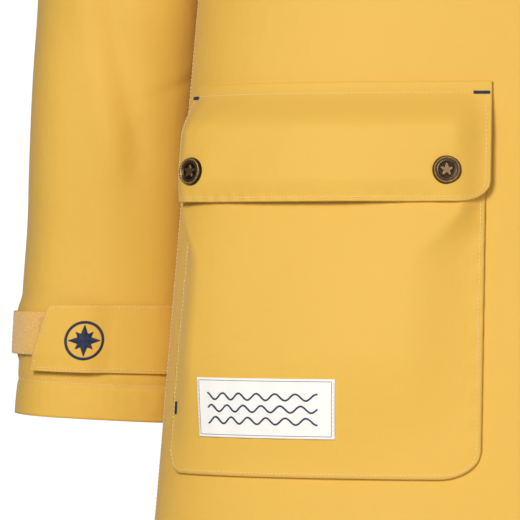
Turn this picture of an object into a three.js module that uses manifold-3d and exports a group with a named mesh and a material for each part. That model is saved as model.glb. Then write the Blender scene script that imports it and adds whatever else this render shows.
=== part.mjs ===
// A foul weather jacket: a yellow three-quarter-length sailing coat with a hood, a zip under a
// snapped storm flap, two bellows patch pockets with snapped flaps, and sleeves with cuff tabs.
//
// Units are millimetres and +Z is up.  The front faces -Y and the wearer's right is -X.  Heights
// are measured up from the hem, and the whole coat is then lowered, so that the origin is where
// the wearer's shoulders or a hanger carry it.
import * as THREE from 'three';
import { mergeVertices } from 'three/addons/utils/BufferGeometryUtils.js';
import Module from 'manifold-3d';

const manifold = await Module();
manifold.setup();

// ---------------------------------------------------------------- driving dimensions
const SUPPORT_HEIGHT = 815;       // hem to the inside of the shoulders, which carry the coat

const HEM_HALF_WIDTH = 270;       // the body is an A-line: wide at the hem, narrower at the chest
const CHEST_HALF_WIDTH = 225;
const CHEST_HEIGHT = 545;         // bottom of the armholes
const SECTION_POWER = 2.3;        // superellipse power of the body's cross-section
const SKIRT_CENTRE_Y = -32;       // where the skirt is widest, front to back
const CHEST_CENTRE_Y = 8;
const CENTRE_SHIFT_START = 300;   // the widest line moves back between this height and the chest
const FRONT_HEM_Y = -150;         // centre front, a straight line from the hem to the neck
const FRONT_NECK_Y = -80;
const FRONT_NECK_HEIGHT = 770;
const BACK_HEM_Y = 128;
const BACK_CHEST_Y = 112;

const NECK_HALF_WIDTH = 76;
const NECK_BACK_Y = 64;
const NECK_SIDE_HEIGHT = 822;
const NECK_BACK_HEIGHT = 827;
const SHOULDER_HALF_WIDTH = 226;
const SHOULDER_HEIGHT = 784;
const SHOULDER_ROUNDING = 0.84;   // power of the curve that rolls the chest over to the shoulder
const ARMHOLE_SCOOP_FRONT = 42;   // degrees that the armhole is cut into the front
const ARMHOLE_SCOOP_BACK = 34;

const CLOTH = 1.8;                // coated shell fabric
const LINING = 1.2;
const LAYER_GAP = 0.5;            // air between two layers that lie on each other
const LINING_GAP = 2.4;           // air between the shell and its lining

const FRONT_EDGE_X = 10;          // centre front to the finished edge of each front panel

const ZIP_BOTTOM = 28;
const ZIP_TOP = 758;
const ZIP_SLOT = 1.8;             // between the two halves of the coil, for the slider's web
const COIL_WIDTH = 3.2;
const COIL_THICKNESS = 2.6;
const TAPE_WIDTH = 16;
const TAPE_THICKNESS = 1.0;
const SLIDER_LENGTH = 17;
const SLIDER_WIDTH = 12;
const SLIDER_PLATE = 1.3;
const SLIDER_GAP = 0.5;           // between the coil and each plate of the slider
const PULLER_LENGTH = 30;
const PULLER_WIDTH = 7;
const PULLER_THICKNESS = 1.4;

const STORM_HINGE_X = -35;
const STORM_FREE_X = 36;
const STORM_BOTTOM = 18;
const STORM_TOP = 764;
const STORM_RISE = 10.5;          // height of the storm flap's arch over the zip
const STORM_SNAP_RISE = 7;        // its height along the line of snaps
const STORM_CLOTH = 2.4;
const STORM_SNAP_X = 26;
const STORM_SNAPS = 4;
const STORM_SNAP_FIRST = 80;
const STORM_SNAP_PITCH = 142;

const POCKET_BOTTOM = 111;
const POCKET_MOUTH = 331;
const POCKET_INNER_ANGLE = 12.9;  // degrees round the section from centre front
const POCKET_OUTER_ANGLE = 74;
const POCKET_RISE = 10;           // how far the bellows holds the pocket off the body
const POCKET_CORNER = 17;
const FLAP_BOTTOM = 272;
const FLAP_TOP = 344;
const FLAP_INNER_ANGLE = 12.2;
const FLAP_OUTER_ANGLE = 73;
const FLAP_CLOTH = 2.2;
const FLAP_FLARE = 3;             // extra stand-off of the flap's outer end
const FLAP_SNAP_INNER_ANGLE = 18;
const FLAP_SNAP_OUTER_ANGLE = 65;
const FLAP_SNAP_HEIGHT = 290;

const SNAP_RADIUS = 8.5;
const SNAP_CAP_HEIGHT = 2.8;
const SNAP_POST_RADIUS = 2;
const SNAP_HOLE_CLEARANCE = 0.5;
const SNAP_SOCKET_RADIUS = 5.4;
const SNAP_SOCKET_HEIGHT = 1.7;
const SNAP_BALL_RADIUS = 2.4;
const SNAP_BALL_CLEARANCE = 0.9;
const SNAP_BALL_ENGAGED = 0.8;    // how deep the ball sits in the socket
const SNAP_ROOF_GAP = 0.3;        // between the ball and the roof of the socket
const SNAP_WASHER = 0.9;

const LABEL_INNER_ANGLE = 33.4;
const LABEL_OUTER_ANGLE = 61.5;
const LABEL_BOTTOM = 134;
const LABEL_TOP = 168;
const LABEL_THICKNESS = 0.6;

// The sleeves hang beside the body, so their rings are placed from its side at their heights.
const sideAt = (height) => {
  return HEM_HALF_WIDTH + (CHEST_HALF_WIDTH - HEM_HALF_WIDTH) * height / CHEST_HEIGHT;
};
const ELBOW_HEIGHT = 405;
const CUFF_HEIGHT = 139;
const ELBOW_OUT = 49.44;          // from the body's side to the middle of the sleeve
const CUFF_OUT = 42.48;
const ELBOW = {
  x: sideAt(ELBOW_HEIGHT) + ELBOW_OUT, y: 42, height: ELBOW_HEIGHT, across: 54, along: 51,
};
const CUFF = {
  x: sideAt(CUFF_HEIGHT) + CUFF_OUT, y: 45, height: CUFF_HEIGHT, across: 54, along: 43,
};
const ELBOW_GAP = 1.2;
const ARMHOLE_GAP = 1.4;

const CUFF_TAB_TOP = 210;
const CUFF_TAB_BOTTOM = 168;
const CUFF_TAB_ROOT_ANGLE = 98;   // degrees round the cuff from its outer side towards the front
const CUFF_TAB_END_ANGLE = 43;
const CUFF_TAB_CLOTH = 2;
const LOOP_START_ANGLE = -20;
const LOOP_END_ANGLE = 78;
const LOOP_HEIGHT = 27;
const LOOP_THICKNESS = 1.8;
const HOOK_START_ANGLE = 50;
const HOOK_END_ANGLE = 74;
const HOOK_THICKNESS = 1.3;

const COLLAR_HEIGHT = 52;
const COLLAR_FRONT_ANGLE = 10;    // degrees from centre front to each end of the collar
const HOOD_CLOTH = 1.6;
const HOOD_LINING_GAP = 4.9;      // the curved hood needs more air inside it than the body
const HOOD_OFFSET = 7;            // the hood is sewn outside the collar by this much
const HOOD_CROWN = { y: 18, height: 1112 };
const HOOD_BROW = { y: -92, height: 1068 };
const HOOD_BACK = { y: 122, height: 985 };
const HOOD_WIDTH = 92;            // half-width at the ears
const HOOD_CENTRE_START = 0.8;    // share of each arch where the side panel meets the centre panel
const PEAK_LENGTH = 34;
const PEAK_THICKNESS = 2.4;
const EYELET_RADIUS = 5.2;
const EYELET_HOLE = 2.2;
const EYELET_CLEARANCE = 0.9;     // between the hood's cloth and the inner flange

const COLORS = {
  cloth: 0xf4c358, cloth_dark: 0xe9b852, lining: 0x33436b, brass: 0x8c7440,
  zip: 0xd9a93f, label: 0xf3f3ee, tape: 0xe6b56a, hook: 0xd8a850, tooth: 0xc8a24a,
};

// ---------------------------------------------------------------- small tools
const radians = (degrees) => degrees * Math.PI / 180;
const mix = (a, b, t) => a + (b - a) * t;
const point = (x, y, z) => new THREE.Vector3(x, y, z);

function smoothstep(value, start, end) {
  const t = Math.min(1, Math.max(0, (value - start) / (end - start)));
  return t * t * (3 - 2 * t);
}

function steps(start, end, count) {
  return Array.from({ length: count + 1 }, (_, i) => mix(start, end, i / count));
}

// A closed thin body between two grids of points, the outer one and the inner one.  The grids
// have rows of the same length.  A ring grid's rows run once round and meet themselves.
function slab(outer, inner, ring = false) {
  const rows = outer.length;
  const columns = outer[0].length;
  const positions = [];
  for (const grid of [outer, inner]) {
    for (const row of grid) {
      for (const p of row) positions.push(p.x, p.y, p.z);
    }
  }
  const at = (layer, r, c) => layer * rows * columns + r * columns + (c % columns);
  const index = [];
  const quad = (a, b, c, d) => index.push(a, b, c, a, c, d);
  const spans = ring ? columns : columns - 1;
  for (let r = 0; r < rows - 1; r += 1) {
    for (let c = 0; c < spans; c += 1) {
      quad(at(0, r, c), at(0, r, c + 1), at(0, r + 1, c + 1), at(0, r + 1, c));
      quad(at(1, r, c), at(1, r + 1, c), at(1, r + 1, c + 1), at(1, r, c + 1));
    }
  }
  for (let c = 0; c < spans; c += 1) {
    quad(at(0, 0, c), at(1, 0, c), at(1, 0, c + 1), at(0, 0, c + 1));
    quad(at(0, rows - 1, c), at(0, rows - 1, c + 1), at(1, rows - 1, c + 1), at(1, rows - 1, c));
  }
  for (let r = 0; !ring && r < rows - 1; r += 1) {
    quad(at(0, r, 0), at(0, r + 1, 0), at(1, r + 1, 0), at(1, r, 0));
    quad(at(0, r, columns - 1), at(1, r, columns - 1),
      at(1, r + 1, columns - 1), at(0, r + 1, columns - 1));
  }
  return facingOut(geometryOf(positions, index));
}

function geometryOf(positions, index) {
  const geometry = new THREE.BufferGeometry();
  geometry.setAttribute('position', new THREE.Float32BufferAttribute(positions, 3));
  geometry.setIndex(index);
  return geometry;
}

function signedVolume(geometry) {
  const p = geometry.attributes.position;
  const index = geometry.index.array;
  const [a, b, c] = [point(), point(), point()];
  let volume = 0;
  for (let i = 0; i < index.length; i += 3) {
    a.fromBufferAttribute(p, index[i]);
    b.fromBufferAttribute(p, index[i + 1]);
    c.fromBufferAttribute(p, index[i + 2]);
    volume += a.dot(b.cross(c)) / 6;
  }
  return volume;
}

// Turns every face over when the body is inside out, as the mirrored left-hand pieces are.
function facingOut(geometry) {
  if (signedVolume(geometry) < 0) {
    const index = geometry.index.array;
    for (let i = 0; i < index.length; i += 3) {
      [index[i + 1], index[i + 2]] = [index[i + 2], index[i + 1]];
    }
  }
  geometry.computeVertexNormals();
  return geometry;
}

// A surface is { at, side }: at gives the point at (u, v), and side is 1 or -1, whichever makes
// a positive lift point out of the coat.
function lifted(surface, u, v, lift) {
  const step = 1e-3;
  const du = surface.at(u + step, v).sub(surface.at(u - step, v));
  const dv = surface.at(u, v + step).sub(surface.at(u, v - step));
  const normal = du.cross(dv).normalize();
  return surface.at(u, v).addScaledVector(normal, lift * surface.side);
}

// A sheet on a surface: its outer face is lifted by the function top and its inner by under.
function sheet(surface, us, vs, top, under, ring = false) {
  const grid = (lift) => vs.map((v) => us.map((u) => lifted(surface, u, v, lift(u, v))));
  return slab(grid(top), grid(under), ring);
}

function mirrored(geometry) {
  const copy = geometry.clone();
  copy.scale(-1, 1, 1);
  return facingOut(copy);
}

function toSolid(geometry) {
  const bare = geometry.clone();
  bare.deleteAttribute('normal');
  bare.deleteAttribute('uv');
  const merged = mergeVertices(bare, 1e-4);
  return new manifold.Manifold(new manifold.Mesh({
    numProp: 3,
    vertProperties: new Float32Array(merged.attributes.position.array),
    triVerts: new Uint32Array(merged.index.array),
  }));
}

function fromSolid(solid) {
  const mesh = solid.getMesh();
  return facingOut(geometryOf(Array.from(mesh.vertProperties), Array.from(mesh.triVerts)));
}

// A turned piece on the +Z axis, from [radius, height] pairs that start and end on the axis.
function turned(profile, sides = 10) {
  const outline = profile.map(([radius, height]) => new THREE.Vector2(radius, height));
  return new THREE.LatheGeometry(outline, sides).rotateX(Math.PI / 2);
}

function clean(geometry) {
  const bare = geometry.clone();
  bare.deleteAttribute('normal');
  bare.deleteAttribute('uv');
  return facingOut(mergeVertices(bare, 1e-4));
}

// Stands a piece made on the +Z axis on a seat: an origin and an outward direction.
function seated(geometry, seat) {
  const turn = new THREE.Quaternion().setFromUnitVectors(point(0, 0, 1), seat.out);
  return geometry.clone().applyQuaternion(turn).translate(...seat.origin.toArray());
}

function drilled(geometry, seats, radius, reach) {
  const bit = new THREE.CylinderGeometry(radius, radius, reach, 10).rotateX(Math.PI / 2);
  let solid = toSolid(geometry);
  for (const seat of seats) solid = solid.subtract(toSolid(seated(bit, seat)));
  return fromSolid(solid);
}

const coat = new THREE.Group();
coat.position.z = -SUPPORT_HEIGHT;

function add(name, geometry, color, roughness = 0.8, metalness = 0) {
  const material = new THREE.MeshStandardMaterial({ color, roughness, metalness });
  const mesh = new THREE.Mesh(clean(geometry), material);
  mesh.name = name;
  coat.add(mesh);
}

// A right-hand piece (-X) and its mirrored left-hand twin.
function addPair(name, geometry, color, roughness, metalness) {
  add(`${name}_right`, geometry, color, roughness, metalness);
  add(`${name}_left`, mirrored(geometry), color, roughness, metalness);
}

// ---------------------------------------------------------------- the body's surface
const halfWidth = (height) => mix(HEM_HALF_WIDTH, CHEST_HALF_WIDTH, height / CHEST_HEIGHT);
const frontLine = (height) => mix(FRONT_HEM_Y, FRONT_NECK_Y, height / FRONT_NECK_HEIGHT);
const backLine = (height) => mix(BACK_HEM_Y, BACK_CHEST_Y, height / CHEST_HEIGHT);

function centreLine(height) {
  const share = smoothstep(height, CENTRE_SHIFT_START, CHEST_HEIGHT);
  return mix(SKIRT_CENTRE_Y, CHEST_CENTRE_Y, share);
}

const rounded = (value) => Math.max(0, value) ** (2 / SECTION_POWER);

// The right-hand side (-X) of the body's cross-section.  The angle runs from centre front or
// centre back (0 degrees) to the side seam (90 degrees).
function sectionPoint(face, angle, height) {
  const width = halfWidth(height);
  const centre = centreLine(height);
  const depth = (face === 'front' ? frontLine(height) : backLine(height)) - centre;
  const turn = radians(Math.min(90, angle));
  return point(-width * rounded(Math.sin(turn)), centre + depth * rounded(Math.cos(turn)), height);
}

function angleAt(x, height) {
  const share = (x / halfWidth(height)) ** (SECTION_POWER / 2);
  return Math.asin(share) * 180 / Math.PI;
}

// Where each column of a panel ends at the top: the neckline, then the shoulder seam.
const NECK_SHARE = 0.36;

function neckline(face, turn) {
  const side = Math.sin(radians(turn));
  const front = Math.cos(radians(turn));
  const reach = face === 'front' ? FRONT_NECK_Y : NECK_BACK_Y;
  const low = face === 'front' ? FRONT_NECK_HEIGHT : NECK_BACK_HEIGHT;
  return point(-NECK_HALF_WIDTH * side, reach * front ** 0.6, mix(NECK_SIDE_HEIGHT, low, front ** 1.5));
}

function topEdge(face, share, innerX) {
  if (share <= NECK_SHARE) {
    const first = Math.asin(innerX / NECK_HALF_WIDTH) * 180 / Math.PI;
    return neckline(face, mix(first, 90, share / NECK_SHARE));
  }
  const along = (share - NECK_SHARE) / (1 - NECK_SHARE);
  return point(
    -mix(NECK_HALF_WIDTH, SHOULDER_HALF_WIDTH, along),
    mix(0, CHEST_CENTRE_Y, along),
    mix(NECK_SIDE_HEIGHT, SHOULDER_HEIGHT, along),
  );
}

// One panel of the body: share runs from the centre edge (0) to the side seam and the armhole
// (1), level from the hem (0) to the chest (1) and on to the top edge (2).
function bodyPanel(face, innerX) {
  const at = (share, level) => {
    if (level <= 1) {
      const height = level * CHEST_HEIGHT;
      const first = angleAt(innerX, Math.max(height, 0));
      return sectionPoint(face, mix(first, 90, share), height);
    }
    const rise = Math.min(level - 1, 1);
    const scoop = face === 'front' ? ARMHOLE_SCOOP_FRONT : ARMHOLE_SCOOP_BACK;
    const last = 90 - scoop * Math.sin(Math.PI * rise) ** 0.8;
    const base = sectionPoint(face, mix(angleAt(innerX, CHEST_HEIGHT), last, share), CHEST_HEIGHT);
    const top = topEdge(face, share, innerX);
    const roll = mix(face === 'front' ? 0 : 0.5, 1, smoothstep(share, 0.1, 0.5));
    const up = Math.sin(rise * Math.PI / 2) ** SHOULDER_ROUNDING;
    const inward = 1 - Math.cos(rise * Math.PI / 2) ** SHOULDER_ROUNDING;
    return point(
      mix(base.x, top.x, rise ** 1.5),
      mix(base.y, top.y, mix(rise, inward, roll)),
      mix(base.z, top.z, mix(rise, up, roll)),
    );
  };
  return { at, side: face === 'front' ? -1 : 1 };
}

const COLUMNS = [0, 0.12, 0.24, NECK_SHARE, 0.48, 0.6, 0.72, 0.84, 0.93, 1];
const LEVELS = [...steps(0, 1, 5), 1.125, 1.25, 1.375, 1.5, 1.625, 1.75, 1.875, 2];
const ARMHOLE_STEPS = 8;

// The front below the chest, by the angle round it and the height: what is sewn on lies on this.
const frontWrap = { at: (angle, height) => sectionPoint('front', angle, height), side: -1 };

// A seat for a turned piece: its origin, and the direction out of the coat.
function seatOn(surface, u, v, lift) {
  const origin = lifted(surface, u, v, lift);
  const out = lifted(surface, u, v, lift + 1).sub(origin).normalize();
  return { origin, out };
}

// ---------------------------------------------------------------- shell and lining
const frontShell = bodyPanel('front', FRONT_EDGE_X);
const backHalf = bodyPanel('back', 0.01);
const LINING_TOP = -CLOTH - LINING_GAP;
const liningUnder = LINING_TOP - LINING;
const SEAM_GAP = 0.005;           // share of a panel left open at the side seam
const SHOULDER_GAP = 0.02;        // level left open at the shoulder seam

// The back runs across both sides: its share is negative on the right and positive on the left.
const backShell = {
  at: (share, level) => {
    const p = backHalf.at(Math.abs(share), level);
    return share > 0 ? point(-p.x, p.y, p.z) : p;
  },
  side: -1,
};
const bothSides = (shares) => [...shares.map((share) => -share).reverse(), ...shares.slice(1)];

// The shell and its lining share their columns and rows; only the first and last ones differ.
const trimmed = (list, first, last) => [first, ...list.slice(1, -1), last];
const shellLevels = trimmed(LEVELS, 0, 2 - SHOULDER_GAP);
const liningLevels = [0.06, ...LEVELS.slice(1, -1)];
const bodySheet = (surface, shares, levels, lift, cloth) => {
  return sheet(surface, shares, levels, () => lift, () => lift - cloth);
};

const shellShares = trimmed(COLUMNS, 0, 1 - SEAM_GAP);
const liningShares = trimmed(COLUMNS, 0, 1 - 3 * SEAM_GAP);
const frontPanel = bodySheet(frontShell, shellShares, shellLevels, 0, CLOTH);
const backPanel = bodySheet(backShell, bothSides(shellShares), shellLevels, 0, CLOTH);
const frontLiner = bodySheet(
  frontShell, liningShares.slice(1), liningLevels.slice(0, -3), LINING_TOP, LINING,
);
const backLiner = bodySheet(
  backShell, bothSides(liningShares), liningLevels, LINING_TOP, LINING,
);

// ---------------------------------------------------------------- snap fasteners
const STUD_GAP = 0.9;             // between a snap and the curved cloth that it clamps
const SOCKET_DEPTH = STUD_GAP + SNAP_SOCKET_HEIGHT;
const snapHole = SNAP_POST_RADIUS + SNAP_HOLE_CLEARANCE;

// A cap on the outside of its cloth, with its post and the socket on the inside.
function snapCap(cloth) {
  const post = SNAP_POST_RADIUS;
  const socketTop = -cloth - STUD_GAP;
  const mouth = socketTop - SNAP_SOCKET_HEIGHT;
  const cavity = SNAP_BALL_RADIUS + SNAP_BALL_CLEARANCE;
  const roof = mouth + SNAP_BALL_ENGAGED + SNAP_ROOF_GAP;
  return turned([
    [0, SNAP_CAP_HEIGHT], [SNAP_RADIUS * 0.7, SNAP_CAP_HEIGHT], [SNAP_RADIUS, 1.7],
    [SNAP_RADIUS, STUD_GAP], [post, STUD_GAP], [post, socketTop],
    [SNAP_SOCKET_RADIUS, socketTop], [SNAP_SOCKET_RADIUS, mouth], [cavity, mouth],
    [cavity, roof], [0, roof],
  ].reverse());
}

// The stud under a cap: a washer inside the cloth, a base outside it, and a ball.
function snapStud(cloth, ballTop) {
  const post = SNAP_POST_RADIUS;
  const inside = -cloth - 1.5 * STUD_GAP;
  const base = STUD_GAP + SNAP_WASHER;
  return turned([
    [0, ballTop], [SNAP_BALL_RADIUS, ballTop], [SNAP_BALL_RADIUS, base],
    [SNAP_SOCKET_RADIUS, base], [SNAP_SOCKET_RADIUS, STUD_GAP], [post, STUD_GAP],
    [post, inside], [SNAP_SOCKET_RADIUS, inside], [SNAP_SOCKET_RADIUS, inside - SNAP_WASHER],
    [0, inside - SNAP_WASHER],
  ].reverse());
}

// ---------------------------------------------------------------- zip and storm flap
// The closure lies on the flat strip down centre front: x across, and the height up it.
const strip = { at: (x, height) => point(x, frontLine(height), height), side: 1 };
const bar = (left, right, low, high, top, under) => {
  return sheet(strip, [left, right], [low, high], () => top, () => under);
};
const coilInner = ZIP_SLOT / 2;
const coilOuter = coilInner + COIL_WIDTH;
const tapeInner = coilOuter + LAYER_GAP;
const tapeTop = -CLOTH - LINING_GAP - LAYER_GAP;
const coilTop = tapeTop + (COIL_THICKNESS - TAPE_THICKNESS) / 2;
const coilUnder = coilTop - COIL_THICKNESS;
const plateTop = coilTop + SLIDER_GAP + SLIDER_PLATE;
const sliderTop = ZIP_TOP - 8;

const zipTape = bar(
  -tapeInner - TAPE_WIDTH, -tapeInner, ZIP_BOTTOM, ZIP_TOP, tapeTop, tapeTop - TAPE_THICKNESS,
);
const zipCoil = bar(-coilOuter, -coilInner, ZIP_BOTTOM + 9, ZIP_TOP - 6, coilTop, coilUnder);
const topStop = bar(
  -coilOuter, -coilInner, ZIP_TOP - 5, ZIP_TOP, coilTop + 0.4, coilUnder - 0.4,
);
const bottomBox = bar(
  -coilOuter, coilOuter, ZIP_BOTTOM, ZIP_BOTTOM + 8, coilTop + 0.6, coilUnder - 0.6,
);

// Two plates with the coil between them, and a web that runs down the slot in the coil.
function zipSlider() {
  const half = SLIDER_WIDTH / 2;
  const low = sliderTop - SLIDER_LENGTH;
  const front = bar(-half, half, low, sliderTop, plateTop, plateTop - SLIDER_PLATE);
  const rear = bar(
    -half, half, low, sliderTop, coilUnder - SLIDER_GAP, coilUnder - SLIDER_GAP - SLIDER_PLATE,
  );
  const web = bar(-0.5, 0.5, low + 3, sliderTop - 2, plateTop - 0.5, coilUnder - SLIDER_GAP - 0.5);
  return fromSolid([front, rear, web].map(toSolid).reduce((all, part) => all.add(part)));
}

// The puller hangs from the top of the slider and lies down its front plate.
function zipPuller() {
  const outline = [[0, 0.36], [0.15, 0.36], [0.3, 0.26], [0.72, 0.5], [1, 0.4]];
  const surface = {
    at: (side, row) => {
      const first = Math.min(outline.length - 2, Math.max(0, Math.floor(row)));
      const along = mix(outline[first][0], outline[first + 1][0], row - first);
      const half = PULLER_WIDTH * mix(outline[first][1], outline[first + 1][1], row - first);
      return strip.at(side * half, sliderTop - 3 - along * PULLER_LENGTH);
    },
    side: -1,
  };
  const lift = plateTop + LAYER_GAP;
  const rows = outline.map((_, i) => i);
  return sheet(surface, [-1, 0, 1], rows, () => lift + PULLER_THICKNESS, () => lift);
}

// The storm flap is sewn down the right front and arches over the zip.
function stormLift(x) {
  const over = STORM_RISE * smoothstep(x, STORM_HINGE_X, STORM_HINGE_X + 17);
  const down = (STORM_RISE - STORM_SNAP_RISE) * smoothstep(x, 8, STORM_SNAP_X - SNAP_RADIUS - 1);
  return LAYER_GAP + over - down;
}

const stormSnapSeats = Array.from({ length: STORM_SNAPS }, (_, i) => {
  const height = STORM_SNAP_FIRST + i * STORM_SNAP_PITCH;
  return {
    cap: seatOn(strip, STORM_SNAP_X, height, stormLift(STORM_SNAP_X) + STORM_CLOTH),
    stud: seatOn(strip, STORM_SNAP_X, height, 0),
  };
});

function stormFlap() {
  const rise = [0, 0.25, 0.5, 0.75, 1].map((t) => STORM_HINGE_X + 17 * t);
  const xs = [...rise, 0, 8, 11, 14, STORM_SNAP_X - SNAP_RADIUS - 1, STORM_FREE_X];
  const flap = sheet(
    strip, xs, [STORM_BOTTOM, STORM_TOP], (x) => stormLift(x) + STORM_CLOTH, stormLift,
  );
  return drilled(flap, stormSnapSeats.map((seat) => seat.cap), snapHole, 16);
}

const stormBall = stormLift(STORM_SNAP_X) - SOCKET_DEPTH + SNAP_BALL_ENGAGED;
const leftPanel = drilled(
  mirrored(frontPanel), stormSnapSeats.map((seat) => seat.stud), snapHole, 16,
);

// ---------------------------------------------------------------- pockets
// The bellows holds the pocket off the body: most at the mouth, nothing along the sewn edges.
function pocketLift(angle, height) {
  const across = (angle - POCKET_INNER_ANGLE) / (POCKET_OUTER_ANGLE - POCKET_INNER_ANGLE);
  const up = (height - POCKET_BOTTOM) / (POCKET_MOUTH - POCKET_BOTTOM);
  const sides = smoothstep(1 - Math.abs(2 * across - 1), 0, 0.11);
  return LAYER_GAP + POCKET_RISE * sides * smoothstep(up, 0, 0.35);
}

function bowed(start, end, ends) {
  return [0, ...ends, ...steps(0.25, 0.75, 4), ...ends.map((t) => 1 - t).reverse(), 1]
    .map((t) => mix(start, end, t));
}

// The pocket's lower corners are rounded: its bottom edge rises towards both ends.
const pocketSurface = {
  at: (angle, up) => {
    const across = (angle - POCKET_INNER_ANGLE) / (POCKET_OUTER_ANGLE - POCKET_INNER_ANGLE);
    const fromEnd = Math.min(1, Math.min(across, 1 - across) / 0.09);
    const corner = POCKET_CORNER * (1 - Math.sqrt(Math.max(0, 1 - (1 - fromEnd) ** 2)));
    const low = POCKET_BOTTOM + corner;
    return frontWrap.at(angle, mix(low, POCKET_MOUTH, up));
  },
  side: -1,
};

function patchPocket() {
  const angles = bowed(POCKET_INNER_ANGLE, POCKET_OUTER_ANGLE, [0.02, 0.05, 0.09, 0.16]);
  const ups = [0, 0.06, 0.14, 0.24, 0.35, 0.6, 1];
  const lift = (angle, up) => pocketLift(angle, mix(POCKET_BOTTOM, POCKET_MOUTH, up));
  const pocket = sheet(pocketSurface, angles, ups, (a, u) => lift(a, u) + CLOTH, lift);
  return drilled(pocket, pocketStudSeats, snapHole, 16);
}

const pocketSnapAngles = [FLAP_SNAP_INNER_ANGLE, FLAP_SNAP_OUTER_ANGLE];
const pocketSurfaceLift = {
  at: (angle, height) => lifted(frontWrap, angle, height, pocketLift(angle, height) + CLOTH),
  side: -1,
};
const flapUnder = {
  at: (angle, height) => lifted(frontWrap, angle, height, flapLift(angle, height)),
  side: -1,
};

// The flap is sewn above the mouth, steps out over the pocket and flares at its outer end.
function flapLift(angle, height) {
  const across = (angle - FLAP_INNER_ANGLE) / (FLAP_OUTER_ANGLE - FLAP_INNER_ANGLE);
  const out = smoothstep(FLAP_TOP - height, 1, FLAP_TOP - POCKET_MOUTH - 1);
  const over = POCKET_RISE + CLOTH + SOCKET_DEPTH + STUD_GAP + SNAP_WASHER;
  return LAYER_GAP + out * (over + FLAP_FLARE * across ** 3);
}

const pocketStudSeats = pocketSnapAngles.map((angle) => {
  return seatOn(pocketSurfaceLift, angle, FLAP_SNAP_HEIGHT, 0);
});
const flapCapSeats = pocketSnapAngles.map((angle) => {
  return seatOn(flapUnder, angle, FLAP_SNAP_HEIGHT, FLAP_CLOTH);
});

function pocketFlap() {
  const angles = bowed(FLAP_INNER_ANGLE, FLAP_OUTER_ANGLE, [0.02, 0.06, 0.12]);
  const heights = [FLAP_BOTTOM, 300, POCKET_MOUTH + 1, POCKET_MOUTH + 6, FLAP_TOP - 2, FLAP_TOP];
  const flap = sheet(
    frontWrap, angles, heights, (a, h) => flapLift(a, h) + FLAP_CLOTH, flapLift,
  );
  return drilled(flap, flapCapSeats, snapHole, 16);
}

const pocketBall = (index) => {
  const gap = flapCapSeats[index].origin.distanceTo(pocketStudSeats[index].origin);
  return gap - FLAP_CLOTH - SOCKET_DEPTH + SNAP_BALL_ENGAGED;
};

const labelSheet = sheet(
  pocketSurfaceLift, steps(LABEL_INNER_ANGLE, LABEL_OUTER_ANGLE, 6), [LABEL_BOTTOM, LABEL_TOP],
  () => LAYER_GAP + LABEL_THICKNESS, () => LAYER_GAP,
);

// ---------------------------------------------------------------- sleeves
// Points round a sleeve are at angles from its outer side (0) over the front (90) to the body
// side (180) and the back (270).
const SLEEVE_SIDES = 2 * ARMHOLE_STEPS;
const roundSleeve = Array.from({ length: SLEEVE_SIDES }, (_, i) => i * 360 / SLEEVE_SIDES);

function sleeveRing(ring, angle, height) {
  const across = -ring.across * Math.cos(radians(angle));
  const along = -ring.along * Math.sin(radians(angle));
  return point(-ring.x + across, ring.y + along, height);
}

function armhole(angle) {
  const turn = ((angle % 360) + 360) % 360;
  const level = turn <= 180 ? 2 - turn / 180 : turn / 180;
  const edge = (turn <= 180 ? frontShell : backHalf).at(1, level);
  return point(edge.x - ARMHOLE_GAP, edge.y, edge.z);
}

// The sleeve leaves the armhole outwards and down, and turns to hang at the elbow.
const upperSurface = {
  at: (angle, t) => {
    const start = armhole(angle);
    const end = sleeveRing(ELBOW, angle, ELBOW.height + ELBOW_GAP / 2);
    const reach = start.distanceTo(end);
    const leave = point(-0.66, 0.1, -0.5).multiplyScalar(reach * 0.9);
    const arrive = point(-0.03, 0, -1).multiplyScalar(reach);
    return start.multiplyScalar(2 * t ** 3 - 3 * t ** 2 + 1)
      .addScaledVector(leave, t ** 3 - 2 * t ** 2 + t)
      .addScaledVector(end, -2 * t ** 3 + 3 * t ** 2)
      .addScaledVector(arrive, t ** 3 - t ** 2);
  },
  side: -1,
};

const forearmSurface = {
  at: (angle, height) => {
    const t = (ELBOW.height - height) / (ELBOW.height - CUFF.height);
    const ring = {
      x: mix(ELBOW.x, CUFF.x, t), y: mix(ELBOW.y, CUFF.y, t),
      across: mix(ELBOW.across, CUFF.across, t), along: mix(ELBOW.along, CUFF.along, t),
    };
    return sleeveRing(ring, angle, height);
  },
  side: 1,
};

const upperSleeve = sheet(
  upperSurface, roundSleeve, [0, 0.12, 0.26, 0.42, 0.6, 0.8, 1], () => 0, () => -CLOTH, true,
);
const forearm = sheet(
  forearmSurface, roundSleeve, steps(ELBOW.height - ELBOW_GAP / 2, CUFF.height, 4),
  () => 0, () => -CLOTH, true,
);

// The cuff's loop strip, the hook patch under the tab's end, and the tab over both.
const tabMiddle = (CUFF_TAB_TOP + CUFF_TAB_BOTTOM) / 2;
const hookLift = LAYER_GAP + LOOP_THICKNESS + LAYER_GAP;

function cuffSheet(startAngle, endAngle, height, top, under) {
  const count = Math.ceil(Math.abs(endAngle - startAngle) / 9);
  const low = tabMiddle - height / 2;
  return sheet(forearmSurface, steps(startAngle, endAngle, count), [low, low + height], top, under);
}

function tabLift(angle) {
  const out = smoothstep(CUFF_TAB_ROOT_ANGLE - angle, 0, 20);
  return LAYER_GAP + out * (hookLift + HOOK_THICKNESS);
}

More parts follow.
